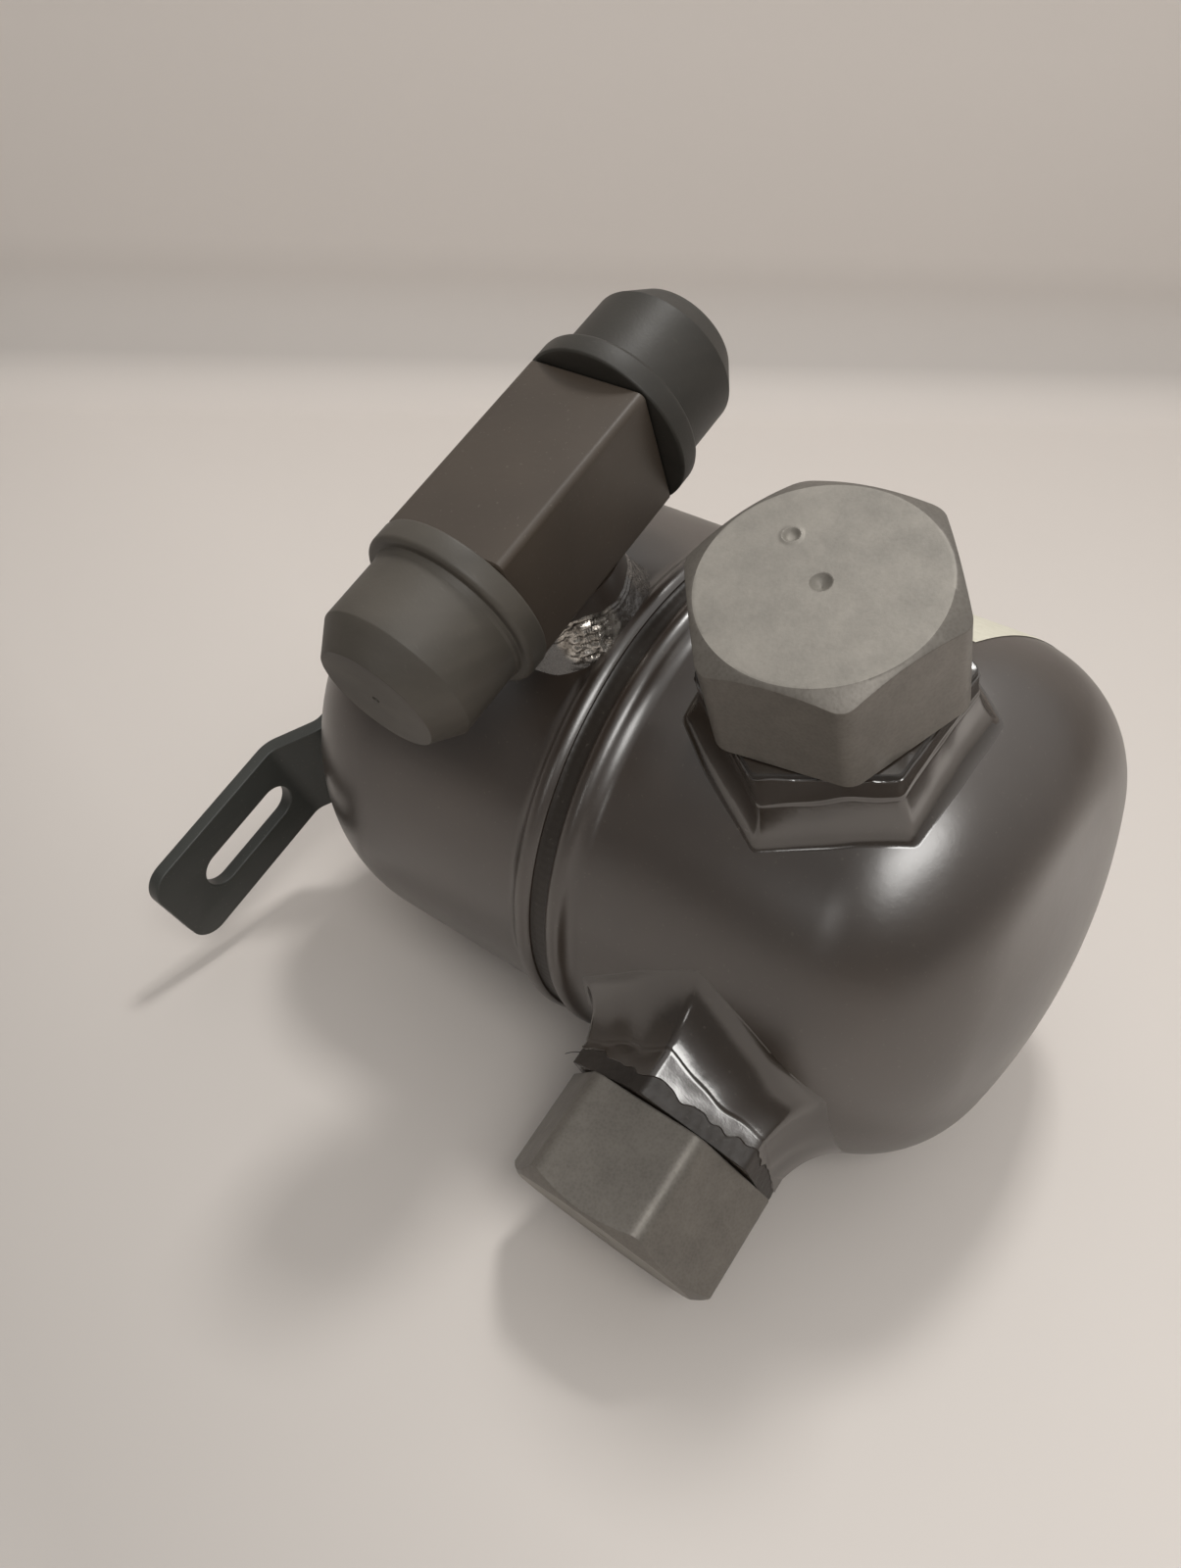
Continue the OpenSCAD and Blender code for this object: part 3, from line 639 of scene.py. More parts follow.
def build_small_cup():
    lap_r = INNER_R - LAP_CLEARANCE
    outer = np.concatenate([ridge_outline(SEAM_EDGE), cup_end(VESSEL_R, SMALL_LENGTH, SMALL_KNUCKLE, 0)])
    inner = cup_end(INNER_R, SMALL_LENGTH - WALL, SMALL_KNUCKLE - WALL, 0)[::-1]
    start = np.array([[INNER_R - WALL, -LAP_LENGTH], [lap_r, -LAP_LENGTH], [lap_r, -SEAM_EDGE]])
    back = np.array([[INNER_R, 4 + WALL], [INNER_R - WALL, 4], [INNER_R - WALL, -LAP_LENGTH]])
    profile = np.concatenate([start, spread(outer, 1.5), inner, back])
    points, faces = revolved(spread(profile, 2.5), CUP_STEPS)
    part = at_axis(points) * np.array([-1, 1, 1]), faces
    return add_piece("small_cup_painted", part, "vessel", M_PAINT, ("small_shell",))


def build_seam_bead():
    """Weld bead between the ridges, with faint ripples."""
    across = np.linspace(SEAM_EDGE - 0.2, SEAM_WIDTH - SEAM_EDGE + 0.2, 21)
    angle = np.arange(720) * 0.5
    u, a = np.meshgrid(across, angle, indexing="ij")
    middle = (u - SEAM_WIDTH / 2) / (SEAM_WIDTH / 2 - SEAM_EDGE)
    crown = np.sqrt(np.clip(1 - (middle * 0.9) ** 2, 0, 1))
    ripple = 0.03 * np.sin(np.radians(a) * 190 + 2.5 * middle ** 2)
    wander = 0.10 * ring_noise(a, 11, 2, 16) * crown
    r = 63.3 + 0.35 * crown + 0.5 * middle ** 4 + ripple * crown + wander
    points = np.stack([u, r * np.cos(np.radians(a)), r * np.sin(np.radians(a))], -1)
    base = points.copy()
    base[..., 1:] *= (INNER_R / r)[..., None]
    ring = np.concatenate([points, base[::-1]])
    part = surface(ring, close_rows=True, close_columns=True)
    # the bead's darker paint is painted shade in the groove
    return add_piece("seam_bead", part, "vessel", M_BEAD_PAINTED_SHADE, ("seam_weld",), 60)


# Part: bosses

BOSS_STEPS = 360
FILLET_SWEEP = 1.1


class Rings:
    """Rings of points round +Z that make up one turned or hexagonal piece."""

    def __init__(self):
        self.angle = np.arange(BOSS_STEPS) * 360 / BOSS_STEPS
        self.tilt = np.radians(self.angle)
        self.rows = []

    def points(self, r, z):
        r = r + 0 * self.tilt
        return np.stack([r * np.cos(self.tilt), r * np.sin(self.tilt), z + 0 * r], -1)

    def add(self, r, z):
        self.rows.append(self.points(r, z))

    def part(self):
        return surface(np.array(self.rows), close_columns=True)


def thread_height(z, angle):
    """0 in the hollow and 1 on the crest of a right-hand thread."""
    phase = np.mod((z - PLUG_BASE) / THREAD_PITCH - angle / 360, 1)
    return np.clip(1.15 - 2.3 * np.abs(phase - 0.5), 0, 1)


def add_fillet(rings, outline, leg, climb, step, port_x):
    """Fillet weld from the cup's skin up to the hexagon; returns the heights where it ends."""
    def on_skin(r):
        return skin(r * np.cos(rings.tilt), r * np.sin(rings.tilt), port_x)

    for t in (-0.12, -0.05):
        r = outline + leg * (1 - t)
        rings.add(r, on_skin(r) + t * 2)
    for t in np.linspace(0, FILLET_SWEEP, 25):
        r = outline + step + leg * (1 - math.sin(t) / math.sin(FILLET_SWEEP))
        rings.add(r, on_skin(r) + climb * (1 - math.cos(t)) / (1 - math.cos(FILLET_SWEEP)))
    return rings.rows[-1][..., 2]


def add_hex_wall(rings, outline, step, foot, torn_z, seed):
    """The hexagon's painted sides, from the weld to the edge of the torn paint."""
    for up in (0.15, 0.35, 0.55, 0.75, 0.95, 1.15):
        rings.add(outline + step * (0.5 + 0.5 * math.cos(math.pi * up / 1.15)), foot + up)
    start = foot + 1.15
    for t in np.linspace(0.08, 1, 12):
        z = start + (torn_z - start) * t
        swell = 0.05 * math.sin(t * math.pi) * lump_noise(rings.points(outline, z), 14, seed + 2, 2)
        rings.add(outline + swell, z)
    lip = 0.08 + 0.10 * np.abs(ring_noise(rings.angle, seed + 5, 12, 90, 0.3))
    rings.add(outline + lip, torn_z + 0.06)
    rings.add(outline + lip * 0.6, torn_z + 0.14)
    rings.add(outline - 0.22, torn_z + 0.22)


def add_torn_band(rings, outline, under, seed):
    """Rough band under the plug; returns the numbers of its first face and of the next after it."""
    first = (len(rings.rows) - 1) * BOSS_STEPS
    for t in np.linspace(0.1, 1, 12):
        z = under + (BOSS_REACH - 0.12 - under) * t
        rough = 0.13 * lump_noise(rings.points(outline, z), 5.0, seed + 6, 3, 0.55)
        rings.add(outline - 0.26 + rough, z)
    return first, len(rings.rows) * BOSS_STEPS


def add_bore(rings):
    """Washer recess, threaded bore and the pilot through the cup's wall."""
    recess_floor = SEAL_TOP - SEAL_T
    rings.add(SEAL_RECESS_R, BOSS_REACH)
    rings.add(SEAL_RECESS_R, recess_floor)
    rings.add(BORE_R + 0.5, recess_floor)
    for z in np.linspace(recess_floor - 0.5, THREAD_FLOOR, THREAD_ROWS):
        rings.add(BORE_R - BORE_THREAD + BORE_THREAD * thread_height(z, rings.angle), z)
    rings.add(OUTLET_BORE_R, THREAD_FLOOR)
    rings.add(OUTLET_BORE_R, PILOT_END)
    rings.add(PILOT_R, PILOT_END)
    rings.add(PILOT_R, THREAD_FLOOR)


def build_boss(name, place, port_x, turn, nodes, spreads, torn, seed):
    """Hexagon boss with its fillet weld, torn rim, recess and threaded bore."""
    rings = Rings()
    a = rings.angle
    outline = hex_outline(a, turn)
    low, high = spreads
    leg = (low + high) / 2 + (high - low) / 2 * np.cos(2 * rings.tilt) + 0.35 * ring_noise(a, seed, 2, 14)
    climb = BOSS_WELD_RISE + 0.6 * ring_noise(a, seed + 1, 3, 16, 0.5)
    step = 0.32 + 0.08 * ring_noise(a, seed + 4, 3, 20)
    torn_z = BOSS_REACH - torn * (1 + 0.22 * ring_noise(a, seed + 3, 4, 40, 0.7))
    foot = add_fillet(rings, outline, leg, climb, step, port_x)
    add_hex_wall(rings, outline, step, foot, torn_z, seed)
    torn_from, torn_to = add_torn_band(rings, outline, torn_z + 0.22, seed)
    rings.add(outline - 0.6, BOSS_REACH)
    add_bore(rings)
    boss = add_piece(name, placed(rings.part(), place), "vessel", M_GLOSS, nodes, 35)
    return second_finish(boss, M_TORN, torn_from, torn_to)


def build_flake(name, place, at, toward, length, seed):
    """Thin curl of torn paint that stands out of a boss's rim."""
    along = np.linspace(0, 1, 24)
    toward = np.array(toward, float) / np.linalg.norm(toward)
    side = np.cross(toward, (0, 0, 1))
    side /= np.linalg.norm(side)
    up = np.cross(side, toward)
    section = ((-1, 0.0), (-0.5, 0.08), (0, 0.1), (0.5, 0.08),
               (1, 0.0), (0.5, -0.06), (0, -0.06), (-0.5, -0.06))
    rows = []
    for t in along:
        centre = np.array(at) + toward * length * t + up * (0.9 * t * t - 0.5 * t)
        wide = 0.45 * (1 - 0.6 * t) * (1 + 0.3 * math.sin(seed + 9 * t))
        rows.append([centre + side * wide * x + up * z for x, z in section])
    points, faces = surface(np.array(rows), close_columns=True)
    faces.append(tuple(range(7, -1, -1)))
    faces.append(tuple(len(points) - 8 + i for i in range(8)))
    return add_piece(name, (place(points), faces), "vessel", M_GLOSS, ())


# Part: plugs and seals

def add_shank(rings):
    """Shank with a male thread that fades out at both ends."""
    shank_end = PLUG_BASE - THREAD_PITCH * THREAD_TURNS
    thread_end = PLUG_BASE - 2.6
    rings.add(0.02, shank_end)
    rings.add(SHANK_R - 1.3, shank_end)
    rings.add(SHANK_R - 0.6, shank_end + 0.7)
    for z in np.linspace(shank_end + 1.0, thread_end, THREAD_ROWS):
        fade = max(0.0, min(1.0, (thread_end - z) / 1.2, (z - shank_end - 0.4) / 1.6))
        rings.add(SHANK_R - 0.2 + SHANK_THREAD * fade * thread_height(z, rings.angle), z)
    rings.add(SHANK_R - 0.3, PLUG_BASE - 1.4)
    rings.add(SHANK_R - 0.3, PLUG_BASE)


def add_head(rings, outline):
    """Hexagon head with its turned chamfer."""
    bevel = outline - PLUG_FACE_R
    crease = PLUG_FACE - bevel * CHAMFER_SLOPE
    rings.add(outline - 0.6, PLUG_BASE)
    rings.add(outline - 0.16, PLUG_BASE + 0.10)
    rings.add(outline, PLUG_BASE + 0.4)
    for t in np.linspace(0.05, 0.97, 8):
        rings.add(outline, PLUG_BASE + 0.4 + (crease - PLUG_BASE - 0.6) * t)
    rings.add(outline, crease - 0.18)
    rings.add(outline - 0.05, crease - 0.06)
    for share in (0.93, 0.12):
        rings.add(PLUG_FACE_R + bevel * share - 0.05, PLUG_FACE - 0.04 - bevel * share * CHAMFER_SLOPE)


def add_turned_face(rings):
    """Flat face with a drilled centre mark."""
    rings.add(PLUG_FACE_R - 0.25, PLUG_FACE)
    for r in (21.5, 19, 16.5, *np.arange(15, 9, -0.25), 7, 5, 3, 2.5, 2.2):
        rings.add(r, PLUG_FACE)
    rings.add(2.0, PLUG_FACE - 0.1)
    rings.add(1.6, PLUG_FACE - 0.6)
    rings.add(0.9, PLUG_FACE - 1.3)
    rings.add(0.02, PLUG_FACE - 1.7)


def dent(points, marks):
    """Presses round dents with a raised lip into a plug's face."""
    top = points[:, 2] > PLUG_FACE - 0.01
    for x, y, radius, depth, raised in marks:
        off = np.hypot(points[:, 0] - x, points[:, 1] - y) / radius
        shift = raised * np.exp(-((off - 1.3) / 0.28) ** 2) - depth * np.exp(-off ** 4)
        points[:, 2] += np.where(top, shift, 0)


def build_plug(name, place, turn, node, marks):
    """Hexagon plug: rounded bar corners, turned chamfer, centre mark and threaded shank."""
    rings = Rings()
    add_shank(rings)
    add_head(rings, hex_outline(rings.angle, turn, PLUG_CORNER))
    turned_from = len(rings.rows) * BOSS_STEPS
    add_turned_face(rings)
    points, faces = rings.part()
    dent(points, marks)
    plug = add_piece(name, (place(points), faces), node, M_PLUG, (node,), 22)
    # the turned face gets the lighter copy of the steel, painted light
    return second_finish(plug, M_FACE_PAINTED_LIGHT, turned_from, len(faces))


def build_seal(name, place, node):
    """Flat copper washer with rounded edges."""
    inner, floor = BORE_R + 0.35, SEAL_TOP - SEAL_T
    profile = rounded_line([(inner, PLUG_BASE - 0.7), (inner, floor), (SEAL_R, floor), (SEAL_R, SEAL_TOP),
                            (inner, SEAL_TOP), (inner, PLUG_BASE - 0.7)], (0.2, 0.5, 0.5, 0.2))
    part = placed(revolved(profile, 160), place)
    return add_piece(name, part, node, M_COPPER, (node,))


# Part: block, stub and caps

def square_outline(half, radius, steps=6):
    """Points of a square with rounded corners."""
    corners = []
    for k in range(4):
        centre = np.array([half - radius, half - radius])
        turn = np.radians(90 * k)
        c, s = math.cos(turn), math.sin(turn)
        for x, y in arc(centre, radius, 0, 90, steps):
            corners.append((x * c - y * s, x * s + y * c))
    return np.array(corners)


def build_block():
    """Square bar with softly broken edges, then the two turned and bored spigots."""
    rows = []
    half_length = BLOCK_LENGTH / 2
    base = square_outline(BLOCK_SIDE / 2, BLOCK_EDGE)
    inset = ((0.9, half_length), (0.35, half_length - 0.1), (0.0, half_length - 0.5))
    stations = [(i, -z) for i, z in inset]
    stations += [(0.0, z) for z in np.linspace(-half_length + 2, half_length - 2, 12)]
    stations += [(i, z) for i, z in inset[::-1]]
    core = np.full(base.shape[0], SPIGOT_R)
    ray = base / np.linalg.norm(base, axis=1)[:, None]
    rows.append(np.concatenate([ray * core[:, None], np.full((len(base), 1), -half_length)], 1))
    for shrink, z in stations:
        flat = base * (1 - shrink / (BLOCK_SIDE / 2))
        rows.append(np.concatenate([flat, np.full((len(base), 1), z)], 1))
    rows.append(np.concatenate([ray * core[:, None], np.full((len(base), 1), half_length)], 1))
    bar = surface(np.array(rows), close_columns=True)
    end = half_length + SPIGOT_LENGTH
    spigots = []
    for side in (-1, 1):
        profile = rounded_line([(SPIGOT_R, half_length - 1), (SPIGOT_R, end), (BLOCK_BORE_R, end),
                                (BLOCK_BORE_R, 0)], (0.8, 0.4))
        points, faces = revolved(spread(profile, 3), 96)
        spigots.append((points * np.array([1, 1, side]), faces))
    part = placed(join(bar, *spigots), at_block)
    return add_piece("port_block_painted", part, "vessel", M_BLOCK, ("port_block",), 35)


def build_stub():
    """Short turned stub between the cup and the block."""
    profile = spread(np.array([(STUB_R, 55.5), (STUB_R, BLOCK_REACH - BLOCK_SIDE / 2 - 0.02),
                               (STUB_BORE_R, BLOCK_REACH - BLOCK_SIDE / 2 - 0.02), (STUB_BORE_R, 55.5)]), 2)
    part = placed(revolved(profile, 128), at_stub)
    return add_piece("block_stub_painted", part, "vessel", M_PAINT, ("block_stub",), 35)


STUB_WELD_STEPS = 720
PATCH_AT = 325
PATCH_HALF = 17


def build_stub_weld():
    """Hand-laid fillet round the stub, painted but for a bare lumpy patch that climbs its side."""
    a = np.arange(STUB_WELD_STEPS) * 360 / STUB_WELD_STEPS
    tilt = np.radians(a)
    patch = np.exp(-(((a - PATCH_AT + 180) % 360 - 180) / PATCH_HALF) ** 4)
    rise = 9.0 + 0.8 * ring_noise(a, 41, 2, 20, 0.6) + 2.5 * patch
    leg = 3.4 + 0.4 * ring_noise(a, 42, 2, 14, 0.6)
    rows = []
    for t in np.linspace(-0.04, 1.0, 45):
        bulge = math.sin(max(t, 0) * math.pi) * (0.3 + 0.8 * patch)
        for pass_at in (0.80, 0.93):
            bulge = bulge + 0.3 * math.exp(-((t - pass_at) / 0.035) ** 2)
        r = STUB_R + leg * (1 - t) ** 1.8 + bulge
        foot = skin(r * np.cos(tilt), r * np.sin(tilt), BLOCK_X)
        row = np.stack([r * np.cos(tilt), r * np.sin(tilt), foot + rise * max(t, 0) + min(t, 0) * 6], -1)
        lumps = lump_noise(row, 5.0, 43, 4, 0.6) * math.sin(max(t, 0) * math.pi) ** 0.5
        ripples = np.abs(np.sin(row[:, 2] * 1.9 + 4 * tilt)) - 0.6
        swell = 1 + (lumps * (0.12 + 0.6 * patch) + 0.35 * ripples * patch) / r
        rows.append(row * np.stack([swell, swell, 1 + 0 * r], -1))
    inner = rows[-1].copy()
    inner[:, :2] *= ((STUB_R - 0.5) / np.hypot(inner[:, 0], inner[:, 1]))[:, None]
    rows.append(inner)
    part = placed(surface(np.array(rows), close_columns=True), at_stub)
    return add_piece("stub_weld_bead", part, "vessel", M_WELD, ("stub_weld",), 50)


def build_cap(name, place, node, material):
    """Push-on cap: soft collar, shallow groove, body, sloped nose, face and moulding mark."""
    outer = rounded_line([(SPIGOT_R + 0.3, -0.0), (COLLAR_R, 0), (COLLAR_R, COLLAR_WIDTH),
                          (CAP_R + 0.35, COLLAR_WIDTH), (CAP_R + 0.25, COLLAR_WIDTH + 0.9),
                          (CAP_R, COLLAR_WIDTH + 1.5), (CAP_R, CAP_LENGTH - CAP_SLOPE),
                          (CAP_FACE_R, CAP_LENGTH), (0.9, CAP_LENGTH)],
                         (0.6, 1.2, 0.25, 0.2, 0.2, 0.7, 0.35))
    mark = np.array([(0.75, CAP_LENGTH - 0.5), (0.02, CAP_LENGTH - 0.6)])
    bore_r, bore_end = SPIGOT_R + 0.3, SPIGOT_LENGTH + 0.8
    inside = np.array([(0.02, bore_end), (bore_r, bore_end), (bore_r, 0)])
    points, faces = revolved(spread(np.concatenate([outer, mark]), 2.0), 160)
    bore, bore_faces = revolved(spread(inside, 3.0), 160)
    points, faces = join((points, faces), (bore, bore_faces))
    points[:, 2] += CAP_BASE
    return add_piece(name, (place(points), faces), node, material, (node,), 30)


build_large_cup()
build_small_cup()
build_seam_bead()
build_boss("top_boss_painted", at_top, TOP_PORT_X, TOP_BOSS_TURN,
           ("top_boss", "top_boss_weld"), (4.2, 4.6), 1.6, 101)
build_boss("lower_boss_painted", at_lower, LOWER_PORT_X, LOWER_BOSS_TURN,
           ("lower_boss", "lower_boss_weld"), (9.3, 8.0), 4.2, 202)
build_flake("torn_flake", at_lower, (-23.0, 11.6, 74.6), (-0.75, 0.35, 0.55), 3.6, 3)
build_plug("top_plug_phosphated", at_top, TOP_PLUG_TURN, "top_plug", ((-9.9, 7.0, 1.3, 0.8, 0.25),))
build_plug("lower_plug_phosphated", at_lower, LOWER_PLUG_TURN, "lower_plug", ())
build_seal("top_seal_ring", at_top, "top_seal")
build_seal("lower_seal_ring", at_lower, "lower_seal")
build_block()
build_stub()
build_stub_weld()
# near cap in the lighter copy, painted light; far cap in the darker copy, painted shade
build_cap("near_cap_moulded", at_block, "near_cap", M_NEAR_CAP_PAINTED_LIGHT)
build_cap("far_cap_moulded", at_far_block, "far_cap", M_FAR_CAP_PAINTED_SHADE)


# Part: bracket

BEND = math.radians(BRACKET_ANGLE)
BEND_RISE = BEND_R * (1 - math.cos(BEND))
SLOPE_RUN = (BRACKET_OFFSET - 2 * BEND_RISE) / math.sin(BEND)


def strip_line(s):
    """Place (away from the axis, off the end) and normal on the bent strip's middle line."""
    s -= FAR_LEG + WELDED_LEG
    if s < 0:
        return (WELDED_LEG + s, 0.0), (0.0, 1.0)
    turn = min(s / BEND_R, BEND)
    out, off = WELDED_LEG + BEND_R * math.sin(turn), BEND_R * (1 - math.cos(turn))
    s -= BEND_R * BEND
    if s < SLOPE_RUN:
        on = max(s, 0.0)
        return (out + on * math.cos(BEND), off + on * math.sin(BEND)), (-math.sin(turn), math.cos(turn))
    out += SLOPE_RUN * math.cos(BEND)
    s -= SLOPE_RUN
    turn = BEND - min(s / BEND_R, BEND)
    out += BEND_R * (math.sin(BEND) - math.sin(turn)) + max(s - BEND_R * BEND, 0.0)
    return (out, BRACKET_OFFSET - BEND_R * (1 - math.cos(turn))), (-math.sin(turn), math.cos(turn))


def strip_length():
    """Length of the middle line, from the far end to the tip."""
    end = strip_line(1000.0)[0][0]
    return 1000.0 - (end - BRACKET_REACH)


def blank_outlines(length):
    """Outer edge and slot of the flat strip, as (along, across)."""
    half = STRIP_WIDTH / 2
    tip = length - TIP_RADIUS
    corner = half - TIP_RADIUS
    outer = np.concatenate([[(0.0, -half)], arc((tip, -corner), TIP_RADIUS, -90, 0, 14),
                            arc((tip, corner), TIP_RADIUS, 0, 90, 14), [(0.0, half)]])
    r = SLOT_WIDTH / 2
    near, far = length - SLOT_MARGIN - r, length - SLOT_MARGIN - SLOT_LENGTH + r
    slot = np.concatenate([arc((near, 0), r, -90, 90, 24), arc((far, 0), r, 90, 270, 24)])
    return outer, slot


def flat_plate(outlines, thickness, bevel):
    """Flat plate with softly broken edges, filled between closed outlines."""
    curve = bpy.data.curves.new("plate", "CURVE")
    curve.dimensions = "2D"
    curve.fill_mode = "BOTH"
    curve.extrude = thickness / 2 - bevel
    curve.bevel_depth = bevel
    curve.bevel_resolution = 3
    curve.offset = -bevel
    for outline in outlines:
        spline = curve.splines.new("POLY")
        spline.points.add(len(outline) - 1)
        for point, (x, y) in zip(spline.points, outline):
            point.co = (x, y, 0, 1)
        spline.use_cyclic_u = True
    holder = bpy.data.objects.new("plate", curve)
    mesh = bpy.data.meshes.new_from_object(holder)
    bpy.data.objects.remove(holder)
    bpy.data.curves.remove(curve)
    return mesh


def build_bracket():
    """Flat bar with a slot and broken edges, cut across where it bends, and bent twice."""
    length = strip_length()
    first, last = FAR_LEG + WELDED_LEG, FAR_LEG + WELDED_LEG + 2 * BEND_R * BEND + SLOPE_RUN
    plate = bmesh.new()
    plate.from_mesh(flat_plate(blank_outlines(length), STRIP_T, 0.45))
    bmesh.ops.remove_doubles(plate, verts=plate.verts, dist=0.002)
    for along in (*np.arange(4, first - 1, 6.0), *np.arange(first, last + 0.4, 0.4)):
        geometry = plate.verts[:] + plate.edges[:] + plate.faces[:]
        bmesh.ops.bisect_plane(plate, geom=geometry, plane_co=(along, 0, 0), plane_no=(1, 0, 0), dist=0.001)
    bmesh.ops.triangulate(plate, faces=plate.faces[:])
    plate.verts.index_update()
    points = []
    for v in plate.verts:
        (out, off), (lean, up) = strip_line(v.co.x)
        points.append((END_X - STRIP_T / 2 - off - up * v.co.z, -out - lean * v.co.z, v.co.y))
    faces = [tuple(v.index for v in f.verts) for f in plate.faces]
    plate.free()
    part = np.array(points), faces
    return add_piece("bracket_strip", part, "vessel", M_STRIP, ("bracket",), 30)


def build_bracket_welds():
    """Two hand-laid fillets along the strip's long edges."""
    parts = []
    for side in (-1, 1):
        y = np.linspace(-14.4, 14.4, 120)
        swell = 1 + 0.10 * np.abs(np.sin(y * 2.1)) + 0.08 * np.sin(y * 0.7 + side)
        fade = np.sqrt(np.clip((14.4 - np.abs(y)) / 1.5, 0.02, 1))
        rows = []
        edge = STRIP_WIDTH / 2
        for t in np.linspace(0, math.pi / 2, 9):
            leg = 2.5 * swell * fade * (1 - 0.18 * math.sin(2 * t))
            rows.append(np.stack([END_X - leg * math.sin(t), y, side * (edge + leg * math.cos(t))], -1))
        root = np.stack([0 * y + END_X + 0.2, y, side * (edge - 0.2) + 0 * y], -1)
        parts.append(surface(np.array(rows + [root]), close_rows=True, flip=side < 0))
    part = join(*parts)
    return add_piece("bracket_weld_beads", part, "vessel", M_STRIP, ("bracket_weld",), 60)


build_bracket()
build_bracket_welds()


# Part: kept CAD nodes

CAD_FINISH = {
    "outlet_tube": M_STEEL, "inlet_deflector": M_STEEL, "front_screen": M_STEEL,
    "rear_screen": M_STEEL, "retaining_ring": M_STEEL, "oil_tube": M_STEEL,
    "valve_body": M_STEEL, "pivot_pin": M_STEEL, "float_arm": M_STEEL, "float_ball": M_STEEL,
    "mesh_pad": M_MESH, "valve_pad": M_RUBBER,
}
for node_name, finish in CAD_FINISH.items():
    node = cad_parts[node_name]
    for place in node.material_slots:
        place.material = finish


# Part: label

LABEL_TURN = math.atan(0.28)
LABEL_LENGTH = 36
LABEL_WIDTH = 49.5
LABEL_LIFT = 0.12
LABEL_CORNER_X = 62.0
LABEL_CORNER_ANGLE = math.radians(31.5)


def build_label():
    """Blank sticker on the large cup's back, of which one corner shows beside the top plug."""
    inward, round_by = np.meshgrid(np.linspace(-LABEL_LENGTH, 0, 40), np.linspace(0, LABEL_WIDTH, 60),
                                   indexing="ij")
    c, s = math.cos(LABEL_TURN), math.sin(LABEL_TURN)
    x = LABEL_CORNER_X + inward * c + round_by * s
    angle = LABEL_CORNER_ANGLE + (round_by * c - inward * s) / VESSEL_R
    r = cup_radius(x) + LABEL_LIFT
    points = np.stack([x, r * np.sin(angle), r * np.cos(angle)], -1)
    return add_piece("blank_sticker", surface(points), "vessel", M_LABEL, ())


build_label()


# Part: stage, lights and camera

WALL_TURN = math.radians(130)
WALL_AT = 0.48
WALL_HEIGHT = 0.5
WORLD_WAY = (0.15, 0.35, 0.92)
WORLD_EDGE = 0.0
WORLD_RANGE = (0.11, 0.74)


def build_stage():
    """Floor and low wall with a soft turn between them."""
    way = np.array([math.cos(WALL_TURN), math.sin(WALL_TURN)])
    side = np.array([way[1], -way[0]])
    profile = rounded_line([(-2.6, 0.0), (WALL_AT, 0.0), (WALL_AT + 0.01, WALL_HEIGHT)], (0.06,), 24)
    rows = []
    for across in (-3.0, 0.0, 3.0):
        flat = way * profile[:, :1] + side * across
        rows.append(np.concatenate([flat, profile[:, 1:]], 1))
    p, faces = surface(np.array(rows))
    mesh = bpy.data.meshes.new("stage_floor")
    mesh.from_pydata(p.tolist(), [], faces)
    mesh.shade_smooth()
    mesh.materials.append(M_FLOOR)
    floor = bpy.data.objects.new("stage_floor", mesh)
    bpy.context.scene.collection.objects.link(floor)


def toward(azimuth, elevation, distance):
    """Place in metres that lies in a direction, seen from the part."""
    a, e = math.radians(azimuth), math.radians(elevation)
    return Vector((math.cos(e) * math.cos(a), math.cos(e) * math.sin(a), math.sin(e))) * distance


def add_lamp(name, first, last, width, power, colour=(1, 0.985, 0.96)):
    """Rectangular lamp that faces the part, with its ends' middles at two places."""
    centre = (first + last) / 2
    x = (last - first).normalized()
    z = (centre - x * centre.dot(x)).normalized()
    data = bpy.data.lights.new(name, "AREA")
    data.shape = "RECTANGLE"
    data.size = (last - first).length
    data.size_y = width
    data.energy = power
    data.color = colour
    lamp = bpy.data.objects.new(name, data)
    lamp.matrix_world = Matrix((x, z.cross(x), z)).transposed().to_4x4()
    lamp.location = centre
    bpy.context.scene.collection.objects.link(lamp)


def add_floor_spot(name, at, cone, power):
    """Lamp over the floor beside the part, whose light reaches the part only off the floor."""
    data = bpy.data.lights.new(name, "SPOT")
    data.energy = power
    data.spot_size = math.radians(cone)
    data.spot_blend = 1.0
    data.shadow_soft_size = 0.03
    lamp = bpy.data.objects.new(name, data)
    lamp.location = at
    lamp.visible_glossy = False
    bpy.context.scene.collection.objects.link(lamp)


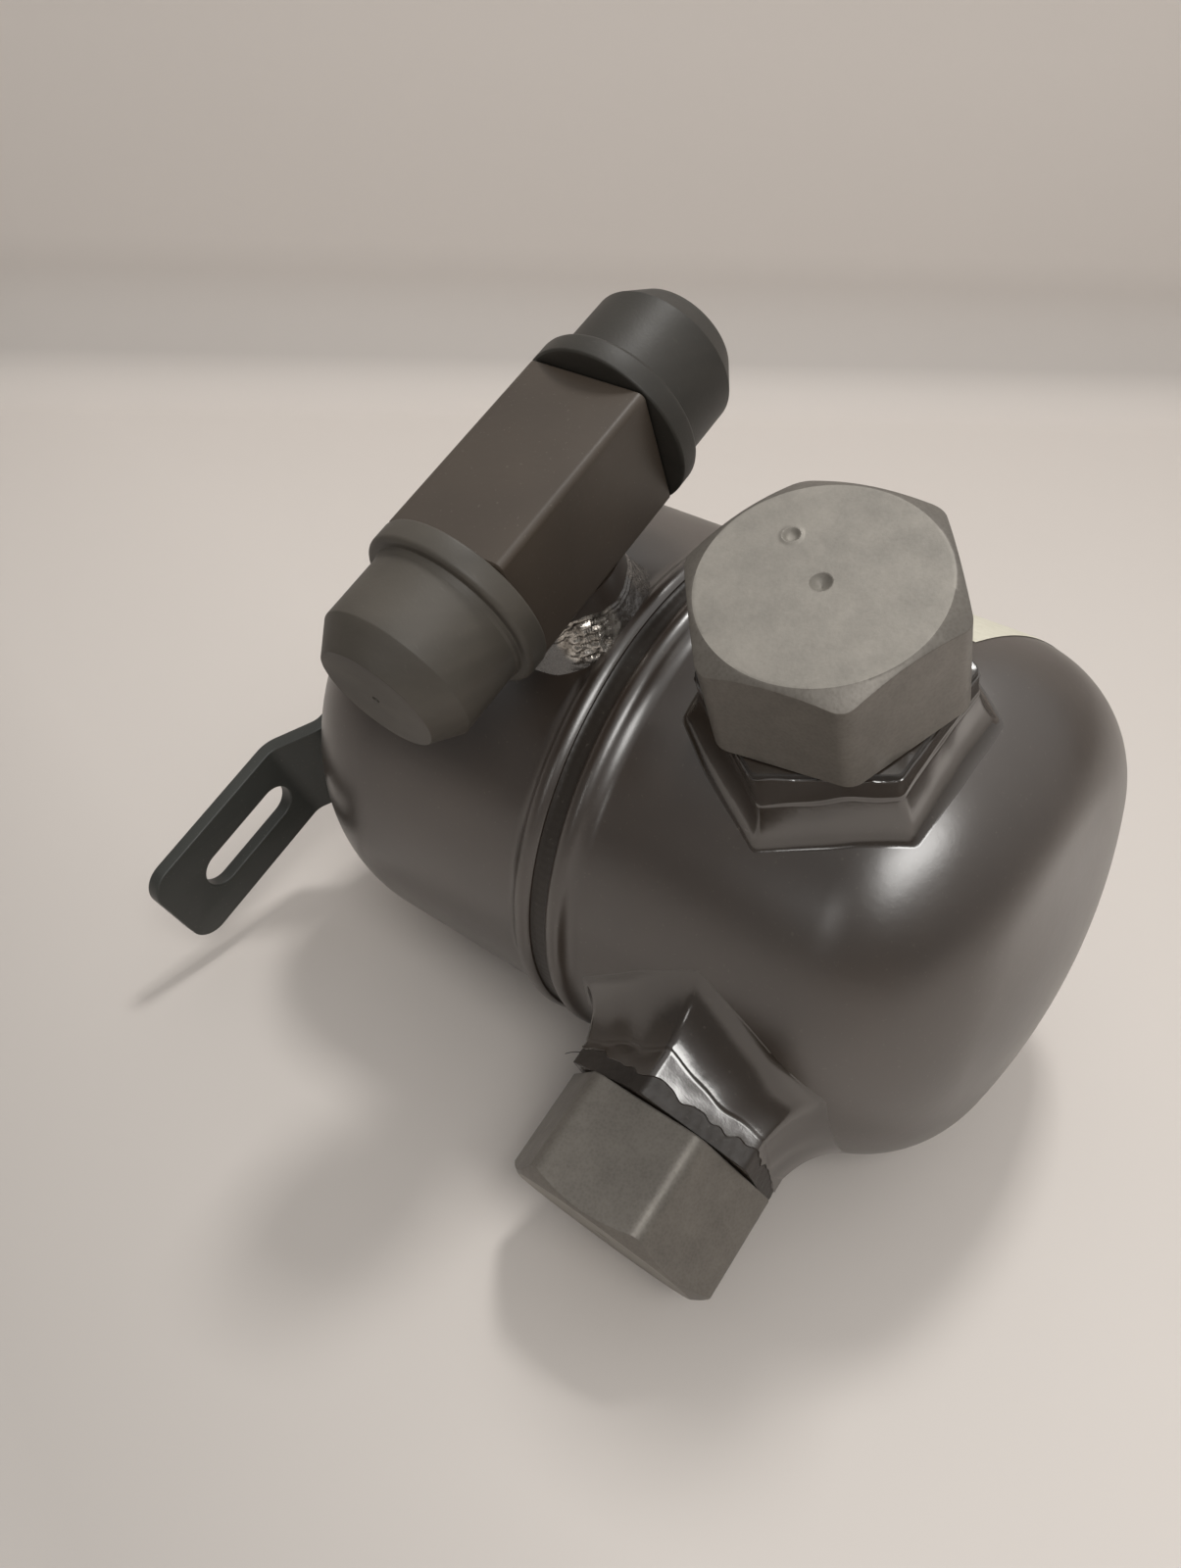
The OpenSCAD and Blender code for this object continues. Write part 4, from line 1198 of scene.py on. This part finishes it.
def build_camera():
    """Camera that the photograph was taken with."""
    axes = turned(np.array([CAMERA_RIGHT, CAMERA_DOWN, CAMERA_AHEAD]), LAY_ANGLE)
    matrix = Matrix.Identity(4)
    for column, axis in enumerate((axes[0], -axes[1], -axes[2])):
        axis = axis / np.linalg.norm(axis)
        for row in range(3):
            matrix[row][column] = axis[row]
    for row, value in enumerate(lay_down(np.array(CAMERA_AT))):
        matrix[row][3] = value
    data = bpy.data.cameras.new("photo_camera")
    data.sensor_width = SENSOR
    data.sensor_fit = "AUTO"
    data.lens = FOCAL_PIXELS / FRAME_HEIGHT * SENSOR
    data.clip_start = 0.01
    camera = bpy.data.objects.new("photo_camera", data)
    camera.matrix_world = matrix
    bpy.context.scene.collection.objects.link(camera)
    bpy.context.scene.camera = camera


def build_world():
    """Plain soft light, a little stronger from the wall's side than from the camera's."""
    world = bpy.data.worlds.new("soft_room")
    world.use_nodes = True
    tree = world.node_tree
    background = tree.nodes["Background"]
    background.inputs["Color"].default_value = (0.93, 0.91, 0.885, 1)
    way = tree.nodes.new("ShaderNodeVectorMath")
    way.operation = "DOT_PRODUCT"
    way.inputs[1].default_value = WORLD_WAY
    tree.links.new(tree.nodes.new("ShaderNodeTexCoord").outputs["Generated"], way.inputs[0])
    level = tree.nodes.new("ShaderNodeMapRange")
    level.inputs["From Min"].default_value = WORLD_EDGE
    level.inputs["To Min"].default_value, level.inputs["To Max"].default_value = WORLD_RANGE
    tree.links.new(way.outputs["Value"], level.inputs["Value"])
    tree.links.new(level.outputs["Result"], background.inputs["Strength"])
    bpy.context.scene.world = world


build_stage()
build_camera()
build_world()
add_lamp("ceiling_lamp", Vector((-0.14, 0.33, 1.25)), Vector((0.02, 0.37, 1.25)), 0.22, 5.4)
add_lamp("room_light", toward(-67, 42, 1.2), toward(-24, 53, 1.2), 0.36, 5.0)
add_lamp("far_window", toward(-99, 22, 1.3), toward(-91, 22, 1.3), 0.18, 0.35)
add_floor_spot("right_floor_light", (0.30, 0.17, 0.5), 38, 9.0)

bpy.context.scene.view_settings.view_transform = "Standard"
